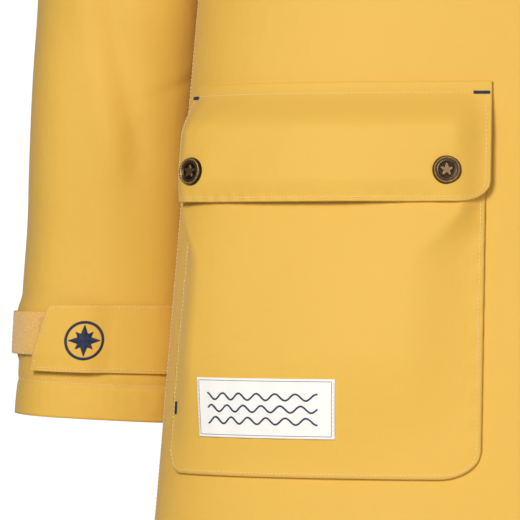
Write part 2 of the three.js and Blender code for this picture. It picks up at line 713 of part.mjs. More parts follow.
const loopStrip = cuffSheet(
  LOOP_START_ANGLE, LOOP_END_ANGLE, LOOP_HEIGHT, () => LAYER_GAP + LOOP_THICKNESS,
  () => LAYER_GAP,
);
const hookPatch = cuffSheet(
  HOOK_START_ANGLE, HOOK_END_ANGLE, LOOP_HEIGHT, () => hookLift + HOOK_THICKNESS, () => hookLift,
);
const cuffTab = cuffSheet(
  CUFF_TAB_END_ANGLE, CUFF_TAB_ROOT_ANGLE, CUFF_TAB_TOP - CUFF_TAB_BOTTOM,
  (angle) => tabLift(angle) + CUFF_TAB_CLOTH, tabLift,
);

// ---------------------------------------------------------------- collar and hood
// Round the neck: 0 degrees is centre front, 90 the right-hand side and 180 centre back.
function neckPoint(angle, offset, rise) {
  const turn = angle <= 90 ? angle : 180 - angle;
  const seam = neckline(angle <= 90 ? 'front' : 'back', turn);
  const out = point(seam.x, seam.y, 0).normalize();
  return seam.addScaledVector(out, offset).setZ(seam.z + rise);
}

function neckBoth(angle, offset, rise) {
  const p = neckPoint(angle <= 180 ? angle : 360 - angle, offset, rise);
  return angle <= 180 ? p : point(-p.x, p.y, p.z);
}

const NECK_CLEAR = 3.4;           // the collar and hood start this far above the seam line

function collarLayer(outerOffset, cloth, rise) {
  const angles = steps(COLLAR_FRONT_ANGLE, 360 - COLLAR_FRONT_ANGLE, 26);
  const rows = [NECK_CLEAR, COLLAR_HEIGHT * rise];
  const grid = (offset) => rows.map((z) => angles.map((a) => neckBoth(a, offset, z)));
  return slab(grid(outerOffset), grid(outerOffset - cloth));
}

const collarOuter = collarLayer(-1, CLOTH, 1);
const collarLining = collarLayer(-1 - CLOTH - LAYER_GAP, LINING, 0.97);

// The hood is a row of arches, from the face opening (0) to the nape (1).  Each arch rises from
// the neck seam (0) to the centre line (1).
function hoodSpine(along) {
  const bend = new THREE.QuadraticBezierCurve3(
    point(0, HOOD_BROW.y, HOOD_BROW.height), point(0, HOOD_CROWN.y + 40, HOOD_CROWN.height + 52),
    point(0, HOOD_BACK.y, HOOD_BACK.height),
  );
  const drop = new THREE.QuadraticBezierCurve3(
    point(0, HOOD_BACK.y, HOOD_BACK.height), point(0, HOOD_BACK.y + 3, HOOD_BACK.height - 80),
    neckPoint(180, HOOD_OFFSET, NECK_CLEAR + 6),
  );
  return along < 0.6 ? bend.getPoint(along / 0.6) : drop.getPoint((along - 0.6) / 0.4);
}

const hoodArch = {
  at: (across, arch) => {
    const share = Math.min(1, Math.abs(across));
    const along = Math.min(1, Math.max(0, arch));
    const base = neckPoint(mix(14, 166, along), HOOD_OFFSET, NECK_CLEAR);
    const top = hoodSpine(along);
    const swell = Math.max(0, Math.sin(Math.PI * share)) ** 0.75;
    const spread = HOOD_WIDTH * (1 - along ** 2.2) * swell;
    const keep = Math.cos(share * Math.PI / 2) ** 0.9;
    const width = Math.max(base.x * -keep, 0) * (1 - 0.45 * share) + spread * 0.72;
    const up = Math.sin(share * Math.PI / 2) ** 1.15;
    const p = point(-width, mix(base.y, top.y, share ** 0.8), mix(base.z, top.z, up));
    return across > 0 ? point(-p.x, p.y, p.z) : p;
  },
};

// Arches are walked from the right-hand seam (0) over the centre line (1) to the left (2).
const hoodOver = {
  at: (across, along) => hoodArch.at(across <= 1 ? -Math.max(0, across) : 2 - across, along),
  side: 1,
};

const HOOD_SEAM = 0.006;          // share of an arch left open between two hood panels

const hoodRows = steps(0, 1, 9);
const sideShares = steps(0, HOOD_CENTRE_START, 6);
const centreShares = steps(HOOD_CENTRE_START, 2 - HOOD_CENTRE_START, 6);
const overShares = [...sideShares, ...centreShares.slice(1)];

const hoodSheet = (shares, rows, lift, cloth) => {
  return sheet(hoodOver, shares, rows, () => lift, () => lift - cloth);
};

const hoodSide = hoodSheet(
  trimmed(sideShares, 0, HOOD_CENTRE_START - HOOD_SEAM), hoodRows, 0, HOOD_CLOTH,
);
const hoodCentre = hoodSheet(
  trimmed(centreShares, HOOD_CENTRE_START + HOOD_SEAM, 2 - HOOD_CENTRE_START - HOOD_SEAM),
  hoodRows, 0, HOOD_CLOTH,
);
const hoodLiner = hoodSheet(
  trimmed([...overShares, ...sideShares.map((share) => 2 - share).reverse().slice(1)], 0.1, 1.9),
  trimmed(hoodRows, 0.03, 0.95), -HOOD_CLOTH - HOOD_LINING_GAP, LINING,
);

// The peak is a stiffened brim that carries the top of the face opening forward.
function hoodPeak() {
  const shares = steps(0.62, 1.38, 10);
  const edge = (share, out, lift) => {
    const p = lifted(hoodOver, share, 0, lift);
    const middle = 1 - ((share - 1) / 0.38) ** 2;
    return p.add(point(0, -1.6 - out * PEAK_LENGTH * middle ** 0.6, -out * 5 * middle));
  };
  const grid = (lift) => [0, 0.5, 1].map((out) => shares.map((share) => edge(share, out, lift)));
  return slab(grid(HOOD_CLOTH / 2), grid(HOOD_CLOTH / 2 - PEAK_THICKNESS));
}

// The drawcord of the hood leaves through an eyelet low on each side of the face opening.
const eyeletSeat = seatOn(hoodOver, sideShares[2], hoodRows[1], 0);

function eyelet() {
  const under = -HOOD_CLOTH - EYELET_CLEARANCE;
  const outline = [
    [EYELET_HOLE, 1.8], [EYELET_HOLE, under - 0.8], [EYELET_RADIUS, under - 0.8],
    [EYELET_RADIUS, under], [EYELET_HOLE + 1, under], [EYELET_HOLE + 1, STUD_GAP],
    [EYELET_RADIUS, STUD_GAP], [EYELET_RADIUS, 1.4], [EYELET_HOLE + 1, 1.8], [EYELET_HOLE, 1.8],
  ];
  return seated(turned(outline), eyeletSeat);
}

const eyeletHole = EYELET_RADIUS - 0.3;

// ---------------------------------------------------------------- inside the neck
// A hanger loop and a blank label are sewn to the back lining below the collar.
function backPatch(halfWidth, low, high, lift, thickness) {
  const grid = (deeper) => [low, high].map((level) => {
    return steps(-halfWidth, halfWidth, 4).map((across) => {
      return lifted(backShell, across, level, liningUnder - lift - deeper);
    });
  });
  return slab(grid(0), grid(thickness));
}

const neckLabel = backPatch(0.11, 1.72, 1.84, LINING_GAP, 0.6);

function hangerLoop() {
  const bow = (share) => LINING_GAP + 9 * Math.sin(Math.PI * share) ** 0.7;
  const shares = steps(0, 1, 10);
  const grid = (deeper) => [1.89, 1.93].map((level) => shares.map((share) => {
    return lifted(backShell, mix(-0.12, 0.12, share), level, liningUnder - bow(share) - deeper);
  }));
  return slab(grid(0), grid(1.4));
}

// ---------------------------------------------------------------- the assembly
const C = COLORS;
add('front_panel_right', frontPanel, C.cloth);
add('front_panel_left', leftPanel, C.cloth);
add('back_panel', backPanel, C.cloth);
add('front_lining_right', frontLiner, C.lining, 0.7);
add('front_lining_left', mirrored(frontLiner), C.lining, 0.7);
add('back_lining', backLiner, C.lining, 0.7);
add('collar_outer', collarOuter, C.cloth);
add('collar_lining', collarLining, C.lining, 0.7);

addPair('hood_panel', drilled(hoodSide, [eyeletSeat], eyeletHole, 16), C.cloth);
add('hood_centre_panel', hoodCentre, C.cloth);
add('hood_lining', hoodLiner, C.lining, 0.7);
add('hood_peak', hoodPeak(), C.cloth);
addPair('hood_eyelet', eyelet(), C.brass, 0.4, 1);

addPair('zip_tape', zipTape, C.zip);
addPair('zip_coil', zipCoil, C.tooth, 0.4);
addPair('zip_top_stop', topStop, C.brass, 0.4, 1);
add('zip_bottom_box', bottomBox, C.brass, 0.4, 1);
add('zip_slider', zipSlider(), C.brass, 0.4, 1);
add('zip_puller', zipPuller(), C.brass, 0.4, 1);

add('storm_flap', stormFlap(), C.cloth);
for (const [i, seat] of stormSnapSeats.entries()) {
  add(`storm_snap_cap_${i + 1}`, seated(snapCap(STORM_CLOTH), seat.cap), C.brass, 0.4, 1);
  add(`storm_snap_stud_${i + 1}`, seated(snapStud(CLOTH, stormBall), seat.stud), C.brass, 0.4, 1);
}

addPair('patch_pocket', patchPocket(), C.cloth);
addPair('pocket_flap', pocketFlap(), C.cloth);
for (const [i, place] of ['inner', 'outer'].entries()) {
  const cap = seated(snapCap(FLAP_CLOTH), flapCapSeats[i]);
  const stud = seated(snapStud(CLOTH, pocketBall(i)), pocketStudSeats[i]);
  addPair(`pocket_snap_cap_${place}`, cap, C.brass, 0.4, 1);
  addPair(`pocket_snap_stud_${place}`, stud, C.brass, 0.4, 1);
}
add('pocket_label', labelSheet, C.label, 0.6);

addPair('upper_sleeve', upperSleeve, C.cloth);
addPair('forearm_sleeve', forearm, C.cloth);
addPair('cuff_loop_strip', loopStrip, C.tape, 1);
addPair('cuff_hook_patch', hookPatch, C.hook, 0.9);
addPair('cuff_tab', cuffTab, C.cloth);

add('hanger_loop', hangerLoop(), C.cloth_dark);
add('neck_label', neckLabel, C.label, 0.6);

coat.updateMatrixWorld(true);
export default coat;
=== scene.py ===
# %% [markdown]
# # A foul weather jacket
#
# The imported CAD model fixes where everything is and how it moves.  This script makes the looks
# around it: sewn cloth with stitching, antique brass snaps, a zip with real teeth, and a woven
# label.  Lengths in the cloth formulas are millimetres above the hem, as in the CAD model; the
# function `world` turns them into the row frame's metres.

import math

import bmesh
import bpy
import numpy as np
from mathutils import Matrix, Vector

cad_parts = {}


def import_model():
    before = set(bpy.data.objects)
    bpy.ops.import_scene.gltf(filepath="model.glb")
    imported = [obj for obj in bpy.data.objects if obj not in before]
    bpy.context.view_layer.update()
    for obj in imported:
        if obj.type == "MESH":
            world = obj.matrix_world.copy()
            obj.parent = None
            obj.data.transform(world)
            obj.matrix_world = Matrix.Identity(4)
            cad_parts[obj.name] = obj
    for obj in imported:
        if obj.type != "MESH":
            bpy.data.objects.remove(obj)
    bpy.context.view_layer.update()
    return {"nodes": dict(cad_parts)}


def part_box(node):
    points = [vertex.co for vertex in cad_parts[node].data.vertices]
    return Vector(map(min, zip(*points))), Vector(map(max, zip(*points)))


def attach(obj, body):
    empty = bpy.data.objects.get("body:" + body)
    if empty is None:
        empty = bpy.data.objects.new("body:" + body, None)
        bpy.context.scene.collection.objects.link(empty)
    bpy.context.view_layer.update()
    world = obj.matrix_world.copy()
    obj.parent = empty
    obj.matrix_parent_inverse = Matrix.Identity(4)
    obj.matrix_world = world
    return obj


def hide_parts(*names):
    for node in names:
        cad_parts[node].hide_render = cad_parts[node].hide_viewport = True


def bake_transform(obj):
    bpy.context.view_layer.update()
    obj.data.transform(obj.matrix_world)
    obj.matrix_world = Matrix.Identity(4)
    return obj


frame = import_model()

# %% [markdown]
# The camera stands square to the front, level with the pocket, 1.8 m away from the cloth.

# %% Camera
PICTURE_WIDTH = 0.3016
CAMERA_DISTANCE = 1.8
PICTURE_CENTRE = Vector((-0.199, -0.14, -0.576))
SENSOR = 36.0

camera_data = bpy.data.cameras.new("camera")
camera_data.sensor_width = SENSOR
camera_data.lens = SENSOR * CAMERA_DISTANCE / PICTURE_WIDTH
camera = bpy.data.objects.new("camera", camera_data)
camera.location = PICTURE_CENTRE + Vector((0, -CAMERA_DISTANCE, 0))
camera.rotation_euler = (math.radians(90), 0, 0)
bpy.context.collection.objects.link(camera)
bpy.context.scene.camera = camera
print("lens", round(camera_data.lens))

# %% [markdown]
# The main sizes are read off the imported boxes, so that the looks follow the CAD model.

# %% Sizes from the frame
def box_mm(node):
    low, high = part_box(node)
    return np.array(low) * 1000, np.array(high) * 1000


back_low, back_high = box_mm("back_panel")
front_low, front_high = box_mm("front_panel_right")
SUPPORT_HEIGHT = 815.0
HEM_HALF_WIDTH = -back_low[0]
CHEST_HALF_WIDTH = 225.0
CHEST_HEIGHT = 545.0
SECTION_POWER = 2.3
SKIRT_CENTRE_Y = -32.0
CHEST_CENTRE_Y = 8.0
CENTRE_SHIFT_START = 300.0
FRONT_HEM_Y = front_low[1]
FRONT_NECK_Y = -80.0
FRONT_NECK_HEIGHT = 770.0
BACK_HEM_Y = back_high[1]
BACK_CHEST_Y = 112.0
NECK_HALF_WIDTH = 76.0
NECK_BACK_Y = 64.0
NECK_SIDE_HEIGHT = 822.0
NECK_BACK_HEIGHT = 827.0
SHOULDER_HALF_WIDTH = 226.0
SHOULDER_HEIGHT = 784.0
SHOULDER_ROUNDING = 0.84
NECK_SHARE = 0.36
FRONT_EDGE_X = -front_high[0]
CLOTH = 1.8
print("half-width at the hem", round(HEM_HALF_WIDTH), "front at the hem", round(FRONT_HEM_Y))

# %% [markdown]
# ## Surfaces
# Each surface is a function of two arrays.  `on` gives points on it, moved out along its normal.

# %% Surface formulas
def mix(a, b, t):
    return a + (b - a) * t


def smoothstep(value, start, end):
    t = np.clip((value - start) / (end - start), 0, 1)
    return t * t * (3 - 2 * t)


def bump(value, centre, width):
    return np.exp(-((value - centre) / width) ** 2)


def stack(x, y, z):
    return np.stack(np.broadcast_arrays(x, y, z), axis=-1).astype(float)


def world(points):
    moved = np.asarray(points, float) - np.array([0, 0, SUPPORT_HEIGHT])
    return moved / 1000


def half_width(height):
    return mix(HEM_HALF_WIDTH, CHEST_HALF_WIDTH, height / CHEST_HEIGHT)


def front_line(height):
    return mix(FRONT_HEM_Y, FRONT_NECK_Y, height / FRONT_NECK_HEIGHT)


def back_line(height):
    return mix(BACK_HEM_Y, BACK_CHEST_Y, height / CHEST_HEIGHT)


def rounded(value):
    return np.maximum(0, value) ** (2 / SECTION_POWER)


def section(face, angle, height):
    centre = mix(SKIRT_CENTRE_Y, CHEST_CENTRE_Y, smoothstep(height, CENTRE_SHIFT_START, CHEST_HEIGHT))
    line = front_line(height) if face == "front" else back_line(height)
    turn = np.radians(np.minimum(90, angle))
    return stack(
        -half_width(height) * rounded(np.sin(turn)),
        centre + (line - centre) * rounded(np.cos(turn)),
        height,
    )


def angle_at(x, height):
    return np.degrees(np.arcsin((x / half_width(height)) ** (SECTION_POWER / 2)))


def neckline(face, turn):
    side = np.sin(np.radians(turn))
    front = np.maximum(0, np.cos(np.radians(turn)))
    reach, low = (
        (FRONT_NECK_Y, FRONT_NECK_HEIGHT) if face == "front" else (NECK_BACK_Y, NECK_BACK_HEIGHT)
    )
    return stack(-NECK_HALF_WIDTH * side, reach * front**0.6, mix(NECK_SIDE_HEIGHT, low, front**1.5))


def top_edge(face, share, inner_x):
    first = math.degrees(math.asin(inner_x / NECK_HALF_WIDTH))
    neck = neckline(face, mix(first, 90, np.minimum(share / NECK_SHARE, 1)))
    along = np.maximum(0, (share - NECK_SHARE) / (1 - NECK_SHARE))
    seam = stack(
        -mix(NECK_HALF_WIDTH, SHOULDER_HALF_WIDTH, along),
        mix(0, CHEST_CENTRE_Y, along),
        mix(NECK_SIDE_HEIGHT, SHOULDER_HEIGHT, along),
    )
    return np.where((share <= NECK_SHARE)[..., None], neck, seam)


def body_panel(face, inner_x):
    scoop = 42 if face == "front" else 34

    def at(share, level):
        height = np.minimum(level, 1) * CHEST_HEIGHT
        low = section(face, mix(angle_at(inner_x, height), 90, share), height)
        rise = np.clip(level - 1, 0, 1)
        last = 90 - scoop * np.maximum(0, np.sin(np.pi * rise)) ** 0.8
        base = section(face, mix(angle_at(inner_x, CHEST_HEIGHT), last, share), CHEST_HEIGHT + 0 * rise)
        top = top_edge(face, share, inner_x)
        roll = mix(0 if face == "front" else 0.5, 1, smoothstep(share, 0.1, 0.5))
        up = np.sin(rise * np.pi / 2) ** SHOULDER_ROUNDING
        inward = 1 - np.maximum(0, np.cos(rise * np.pi / 2)) ** SHOULDER_ROUNDING
        high = stack(
            mix(base[..., 0], top[..., 0], rise**1.5),
            mix(base[..., 1], top[..., 1], mix(rise, inward, roll)),
            mix(base[..., 2], top[..., 2], mix(rise, up, roll)),
        )
        return np.where((level <= 1)[..., None], low, high)

    return at, -1 if face == "front" else 1


def on(surface, u, v, lift=0.0):
    at, side = surface
    u, v = np.broadcast_arrays(np.asarray(u, float), np.asarray(v, float))
    step = 2e-3
    du = at(u + step, v) - at(u - step, v)
    dv = at(u, v + step) - at(u, v - step)
    normal = np.cross(du, dv)
    normal /= np.maximum(1e-9, np.linalg.norm(normal, axis=-1, keepdims=True))
    return at(u, v) + normal * side * np.asarray(lift)[..., None]


front_shell = body_panel("front", FRONT_EDGE_X)
back_half = body_panel("back", 0.01)


def across_back(share, level):
    points = back_half[0](np.abs(share), level)
    points[..., 0] *= np.where(share > 0, -1, 1)
    return points


back_shell = (across_back, -1)
front_wrap = (lambda angle, height: section("front", angle, height), -1)
strip = (lambda x, height: stack(x, front_line(height), height), 1)


def left_of(surface):
    """The mirrored twin of a right-hand surface."""
    at, side = surface

    def mirrored(u, v):
        points = at(u, v)
        points[..., 0] *= -1
        return points

    return mirrored, -side


check = on(front_wrap, 40.0, 300.0, 10.0) - on(front_wrap, 40.0, 300.0, 0.0)
print("a lift of 10 mm on the front moves", np.round(check, 1))

# %% [markdown]
# ## Materials
# All finishes are procedural.  Cloth finishes read the piece's own UV map, which is in metres.

# %% Node helpers
def linear(hex_colour):
    """An sRGB colour such as '#f4c358' as linear RGBA."""
    parts = [int(hex_colour[i : i + 2], 16) / 255 for i in (1, 3, 5)]
    return [p / 12.92 if p <= 0.04045 else ((p + 0.055) / 1.055) ** 2.4 for p in parts] + [1.0]


def add(tree, kind, inputs=None, **settings):
    """Adds a node; an input is a value, or a socket to link from."""
    node = tree.nodes.new("ShaderNode" + kind)
    for key, value in settings.items():
        setattr(node, key, value)
    for key, value in (inputs or {}).items():
        if isinstance(value, bpy.types.NodeSocket):
            tree.links.new(value, node.inputs[key])
        else:
            node.inputs[key].default_value = value
    return node


def new_material(name):
    material = bpy.data.materials.new(name)
    material.use_nodes = True
    tree = material.node_tree
    tree.nodes.clear()
    shader = add(tree, "BsdfPrincipled")
    output = add(tree, "OutputMaterial")
    tree.links.new(shader.outputs["BSDF"], output.inputs["Surface"])
    return material, tree, shader


def shade(tree, low, high, factor):
    """A colour between two hex colours."""
    return add(
        tree,
        "Mix",
        {"Factor": factor, "A": linear(low), "B": linear(high)},
        data_type="RGBA",
    ).outputs["Result"]


def noise(tree, scale, detail=2.0, vector=None):
    vector = vector or add(tree, "TexCoord").outputs["Object"]
    return add(tree, "TexNoise", {"Vector": vector, "Scale": scale, "Detail": detail}).outputs["Fac"]


def bumped(tree, shader, height, distance, strength=1.0, under=None):
    """Adds a bump of `distance` metres and returns its normal."""
    inputs = {"Height": height, "Distance": distance, "Strength": strength}
    if under:
        inputs["Normal"] = under
    normal = add(tree, "Bump", inputs).outputs["Normal"]
    tree.links.new(normal, shader.inputs["Normal"])
    return normal


def weave(tree, pitch):
    """Warp and weft ridges, `pitch` metres apart."""
    uv = add(tree, "TexCoord").outputs["UV"]
    ridges = [
        add(
            tree, "TexWave", {"Vector": uv, "Scale": math.pi / 10 / pitch, "Distortion": 0.6},
            bands_direction=direction,
        )
        for direction in "XY"
    ]
    return add(
        tree, "Math", {0: ridges[0].outputs["Fac"], 1: ridges[1].outputs["Fac"]}, operation="MULTIPLY"
    ).outputs[0]


def cloth_material(name, low, high, pitch, roughness, sheen=0.1, grain=0.0001, cockle=0.0):
    material, tree, shader = new_material(name)
    patch = noise(tree, 9.0)
    tree.links.new(shade(tree, low, high, patch), shader.inputs["Base Color"])
    shader.inputs["Roughness"].default_value = roughness
    shader.inputs["Sheen Weight"].default_value = sheen
    shader.inputs["Specular IOR Level"].default_value = 0.3
    under = None
    if cockle:
        under = bumped(tree, shader, noise(tree, 70.0), cockle)
    bumped(tree, shader, weave(tree, pitch), grain, under=under)
    return material


def plain_material(name, colour, roughness, metallic=0.0):
    material, _, shader = new_material(name)
    shader.inputs["Base Color"].default_value = linear(colour)
    shader.inputs["Roughness"].default_value = roughness
    shader.inputs["Metallic"].default_value = metallic
    return material


# %% The finishes
COATED = cloth_material("coated_cloth", "#dfb048", "#e4b54c", 0.0007, 0.62, 0.12, 0.00006, 0.0005)
LINING = cloth_material("lining", "#2f3e64", "#374872", 0.0009, 0.8, 0.1, 0.00012)
WEBBING = cloth_material("zip_tape", "#cf9d38", "#d9a840", 0.0011, 0.75, 0.1, 0.0002)
WOVEN = cloth_material("woven_label", "#f4f1ea", "#fbf9f4", 0.0006, 0.7, 0.1, 0.0001)
THREAD = plain_material("cream_thread", "#eacb8e", 0.7)
NAVY = plain_material("navy_thread", "#1c2748", 0.5)
COIL = plain_material("zip_coil", "#c8a24a", 0.4)


def pile_material(name, low, high):
    """The fuzzy loops of hook-and-loop tape."""
    material, tree, shader = new_material(name)
    tree.links.new(shade(tree, low, high, noise(tree, 900.0, 4.0)), shader.inputs["Base Color"])
    shader.inputs["Roughness"].default_value = 0.9
    shader.inputs["Sheen Weight"].default_value = 0.35
    bumped(tree, shader, noise(tree, 700.0, 6.0), 0.0012)
    return material


def brass_material(name):
    """Antique brass: dark in the hollows, rubbed bright on the rims."""
    material, tree, shader = new_material(name)
    rub = add(tree, "Attribute", attribute_name="rub").outputs["Fac"]
    tree.links.new(shade(tree, "#2c2116", "#9a7c50", rub), shader.inputs["Base Color"])
    shader.inputs["Metallic"].default_value = 0.85
    shader.inputs["Roughness"].default_value = 0.36
    bumped(tree, shader, noise(tree, 2500.0), 0.00006)
    return material


PILE = pile_material("loop_tape", "#eaae4e", "#f6ca74")
HOOKS = pile_material("hook_tape", "#dca860", "#e8b870")
BRASS = brass_material("antique_brass")
print("materials", len(bpy.data.materials))

# %% [markdown]
# ## Building cloth
# A sheet is a grid on a surface with a front, a back and a turned rim.

# %% Meshes
def new_object(name, points, faces, material, uvs=None):
    """A mesh object from points in CAD millimetres."""
    mesh = bpy.data.meshes.new(name)
    mesh.from_pydata(world(points).tolist(), [], [list(map(int, f)) for f in faces])
    if uvs is not None:
        layer = mesh.uv_layers.new(name="UVMap")
        corner = np.empty(len(mesh.loops), dtype=int)
        mesh.loops.foreach_get("vertex_index", corner)
        layer.data.foreach_set("uv", np.asarray(uvs, np.float32)[corner].ravel())
    build = bmesh.new()
    build.from_mesh(mesh)
    bmesh.ops.recalc_face_normals(build, faces=build.faces)
    build.to_mesh(mesh)
    build.free()
    mesh.polygons.foreach_set("use_smooth", [True] * len(mesh.polygons))
    mesh.materials.append(material)
    shown = bpy.data.objects.new(name, mesh)
    bpy.context.collection.objects.link(shown)
    return shown


def grid_quads(rows, columns, first=0):
    index = first + np.arange(rows * columns).reshape(rows, columns)
    return np.stack([index[:-1, :-1], index[:-1, 1:], index[1:, 1:], index[1:, :-1]], -1).reshape(-1, 4)


def rim_loop(rows, columns):
    index = np.arange(rows * columns).reshape(rows, columns)
    return np.concatenate([index[0], index[1:, -1], index[-1, -2::-1], index[-2:0:-1, 0]])


def arc_uv(points):
    """A UV map in metres, from the lengths along both directions of a grid."""
    def run(axis):
        steps = np.linalg.norm(np.diff(points, axis=axis), axis=-1)
        pad = [(1, 0) if i == axis else (0, 0) for i in range(2)]
        return np.cumsum(np.pad(steps, pad), axis=axis) / 1000
    return np.stack([run(1), run(0)], -1).reshape(-1, 2)


def shell(name, front, back, material):
    """A closed sheet between two grids of points, with a softened rim."""
    rows, columns = front.shape[:2]
    count = rows * columns
    loop = rim_loop(rows, columns)
    turn = np.stack([loop, np.roll(loop, -1), np.roll(loop, -1) + count, loop + count], -1)
    points = np.concatenate([front.reshape(-1, 3), back.reshape(-1, 3)])
    faces = np.concatenate([grid_quads(rows, columns), grid_quads(rows, columns, count)[:, ::-1], turn])
    uvs = np.concatenate([arc_uv(front), arc_uv(back)])
    return new_object(name, points, faces, material, uvs)


def cloth_sheet(name, surface, us, vs, thick, lift=None, material=COATED, shape=None):
    """A sheet on a surface.  `lift(u, v)` is the height of its inside, `shape(u, v)` a warp of the grid."""
    u, v = np.meshgrid(us, vs)
    if shape:
        u, v = shape(u, v)
    inside = lift(u, v) if lift else np.zeros_like(u)
    return shell(name, on(surface, u, v, inside + thick), on(surface, u, v, inside), material)


# %% [markdown]
# A stitch is a small capsule lying on the cloth.  A row of them follows a path in the surface.

# %% Stitches
STITCH_PITCH = 2.5
STITCH_LENGTH = 1.8
STITCH_RADIUS = 0.32
capsule_around = 5
capsule_along = [(-0.5, 0.25), (-0.36, 0.85), (0.0, 1.0), (0.36, 0.85), (0.5, 0.25)]


def capsules(centres, along, normal, length, radius, flat=0.8):
    """Vertices and faces of one capsule at each centre; `length` may be an array."""
    across = np.cross(normal, along)
    across /= np.linalg.norm(across, axis=-1, keepdims=True)
    turns = np.arange(capsule_around) * 2 * math.pi / capsule_around
    length = np.broadcast_to(length, len(centres))[:, None]
    rings = []
    for place, wide in capsule_along:
        for turn in turns:
            rings.append(
                centres
                + along * place * length
                + across * radius * wide * math.cos(turn)
                + normal * radius * flat * wide * math.sin(turn)
            )
    points = np.stack(rings, 1)
    each = points.shape[1]
    one = []
    for ring in range(len(capsule_along) - 1):
        for k in range(capsule_around):
            after = (k + 1) % capsule_around
            start = ring * capsule_around
            one.append([start + k, start + after, start + capsule_around + after, start + capsule_around + k])
    top = list(range(each - capsule_around, each))
    ends = [list(range(capsule_around))[::-1], top]
    shift = np.arange(len(centres)) * each
    faces = [np.array(f) + s for s in shift for f in one + ends]
    return points.reshape(-1, 3), faces


def path_frames(surface, path, lift, pitch):
    """Evenly spaced places on a path: centres, directions along it, and normals."""
    path = np.asarray(path, float)
    rise = lift(path[:, 0], path[:, 1]) if callable(lift) else np.full(len(path), float(lift))
    points = on(surface, path[:, 0], path[:, 1], rise)
    above = on(surface, path[:, 0], path[:, 1], rise + 1) - points
    run = np.concatenate([[0], np.cumsum(np.linalg.norm(np.diff(points, axis=0), axis=1))])
    count = max(2, int(run[-1] / pitch))
    where = (np.arange(count) + 0.5) * run[-1] / count

    def sample(values, at):
        return np.stack([np.interp(at, run, values[:, k]) for k in range(3)], -1)

    centres = sample(points, where)
    along = sample(points, where + 0.6) - sample(points, where - 0.6)
    along /= np.maximum(1e-9, np.linalg.norm(along, axis=-1, keepdims=True))
    return centres, along, sample(above, where)


def line(u0, v0, u1, v1, count=60):
    t = np.linspace(0, 1, count)
    return np.stack([mix(u0, u1, t), mix(v0, v1, t)], -1)


class Threadwork:
    """Collects capsules that move together and become one object."""

    def __init__(self, name, material):
        self.name, self.material = name, material
        self.points, self.faces, self.count = [], [], 0

    def lay(self, centres, along, normal, length, radius, flat=0.8):
        points, faces = capsules(centres, along, normal, length, radius, flat)
        self.faces += [f + self.count for f in faces]
        self.points.append(points)
        self.count += len(points)

    def sew(self, surface, path, lift, pitch=STITCH_PITCH, length=STITCH_LENGTH, radius=STITCH_RADIUS):
        centres, along, normal = path_frames(surface, path, lift, pitch)
        self.lay(centres, along, normal, length, radius)

    def tack(self, surface, path, lift, width=2.2):
        """A bar tack: satin stitches across a short path."""
        centres, along, normal = path_frames(surface, path, lift, 0.42)
        self.lay(centres + 0.35 * normal, np.cross(normal, along), normal, width, 0.36, 1.8)

    def done(self):
        return new_object(self.name, np.concatenate(self.points), self.faces, self.material)


print("a stitch has", capsule_around * len(capsule_along), "points")

# %% [markdown]
# ## The body
# Soft folds run through the front; what is sewn onto the front follows the same folds.

# %% Body panels
SIDES = ("right", "left")
stitches = {}
tacks = {}


def sided(surface, side):
    return surface if side == "right" else left_of(surface)


def thread_for(body):
    return stitches.setdefault(body, Threadwork(f"stitches_{body}", THREAD))


def tack_for(body):
    return tacks.setdefault(body, Threadwork(f"bar_tacks_{body}", NAVY))


def front_folds(angle, height):
    fade = smoothstep(angle, 12, 26) * (1 - smoothstep(height, 640, 740))
    long_fold = np.sin(angle / 11 + height / 95) * np.sin(height / 160 + 0.6)
    cross_fold = np.sin(height / 41 - angle / 17) * bump(height, 90, 90)
    seat = 0.8 * np.sin((height - 1.6 * angle) / 7.5) * bump(angle, 15, 5) * bump(height, 385, 55)
    return fade * (1.1 * long_fold + 0.7 * cross_fold) + seat


def panel_relief(share, level):
    height = np.minimum(level, 1) * CHEST_HEIGHT + np.maximum(level - 1, 0) * 240
    angle = mix(angle_at(FRONT_EDGE_X, np.minimum(height, CHEST_HEIGHT)), 90, share)
    edge = smoothstep(share, 0, 0.06) * (1 - smoothstep(share, 0.93, 1))
    return -CLOTH + edge * front_folds(angle, height)


def back_relief(share, level):
    width = np.abs(share)
    edge = (1 - smoothstep(width, 0.9, 1)) * (1 - smoothstep(level, 1.7, 2))
    drape = 2.2 * np.sin(share * 9.5 + level * 1.3) * (1 - 0.45 * level)
    return -CLOTH + edge * (drape + 0.9 * np.sin(level * 13 + share * 4))


levels = np.concatenate([np.linspace(0, 1, 110), np.linspace(1, 2, 76)[1:]])
for side in SIDES:
    shell_side = sided(front_shell, side)
    front = cloth_sheet(f"front_{side}", shell_side, np.linspace(0, 1, 110), levels, CLOTH, panel_relief)
    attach(front, "coat_body")
    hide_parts(f"front_panel_{side}")
    thread = thread_for("coat_body")
    skin = lambda s, v: panel_relief(s, v) + CLOTH + 0.1
    thread.sew(shell_side, line(0.02, 0.037, 0.985, 0.037, 140), skin)
    thread.sew(shell_side, line(0.985, 0.04, 0.985, 1.0, 140), skin)
    thread.sew(shell_side, line(NECK_SHARE, 1.975, 0.985, 1.975, 60), skin)

back = cloth_sheet("back", back_shell, np.linspace(-1, 1, 180), levels[::2], CLOTH, back_relief)
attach(back, "coat_body")
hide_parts("back_panel")
skin = lambda s, v: back_relief(s, v) + CLOTH + 0.1
thread = thread_for("coat_body")
for path in (
    line(-0.985, 0.037, 0.985, 0.037, 240),
    line(-0.985, 0.04, -0.985, 1.0, 140),
    line(0.985, 0.04, 0.985, 1.0, 140),
    line(-0.985, 1.6, 0.985, 1.6, 200),
):
    thread.sew(back_shell, path, skin)
print("body panels", len(front.data.polygons), len(back.data.polygons))

# %% Linings
LINING_GAP, LINING_CLOTH = 2.4, 1.2


def lining_inside(share, level):
    return 0 * share - CLOTH - LINING_GAP - LINING_CLOTH


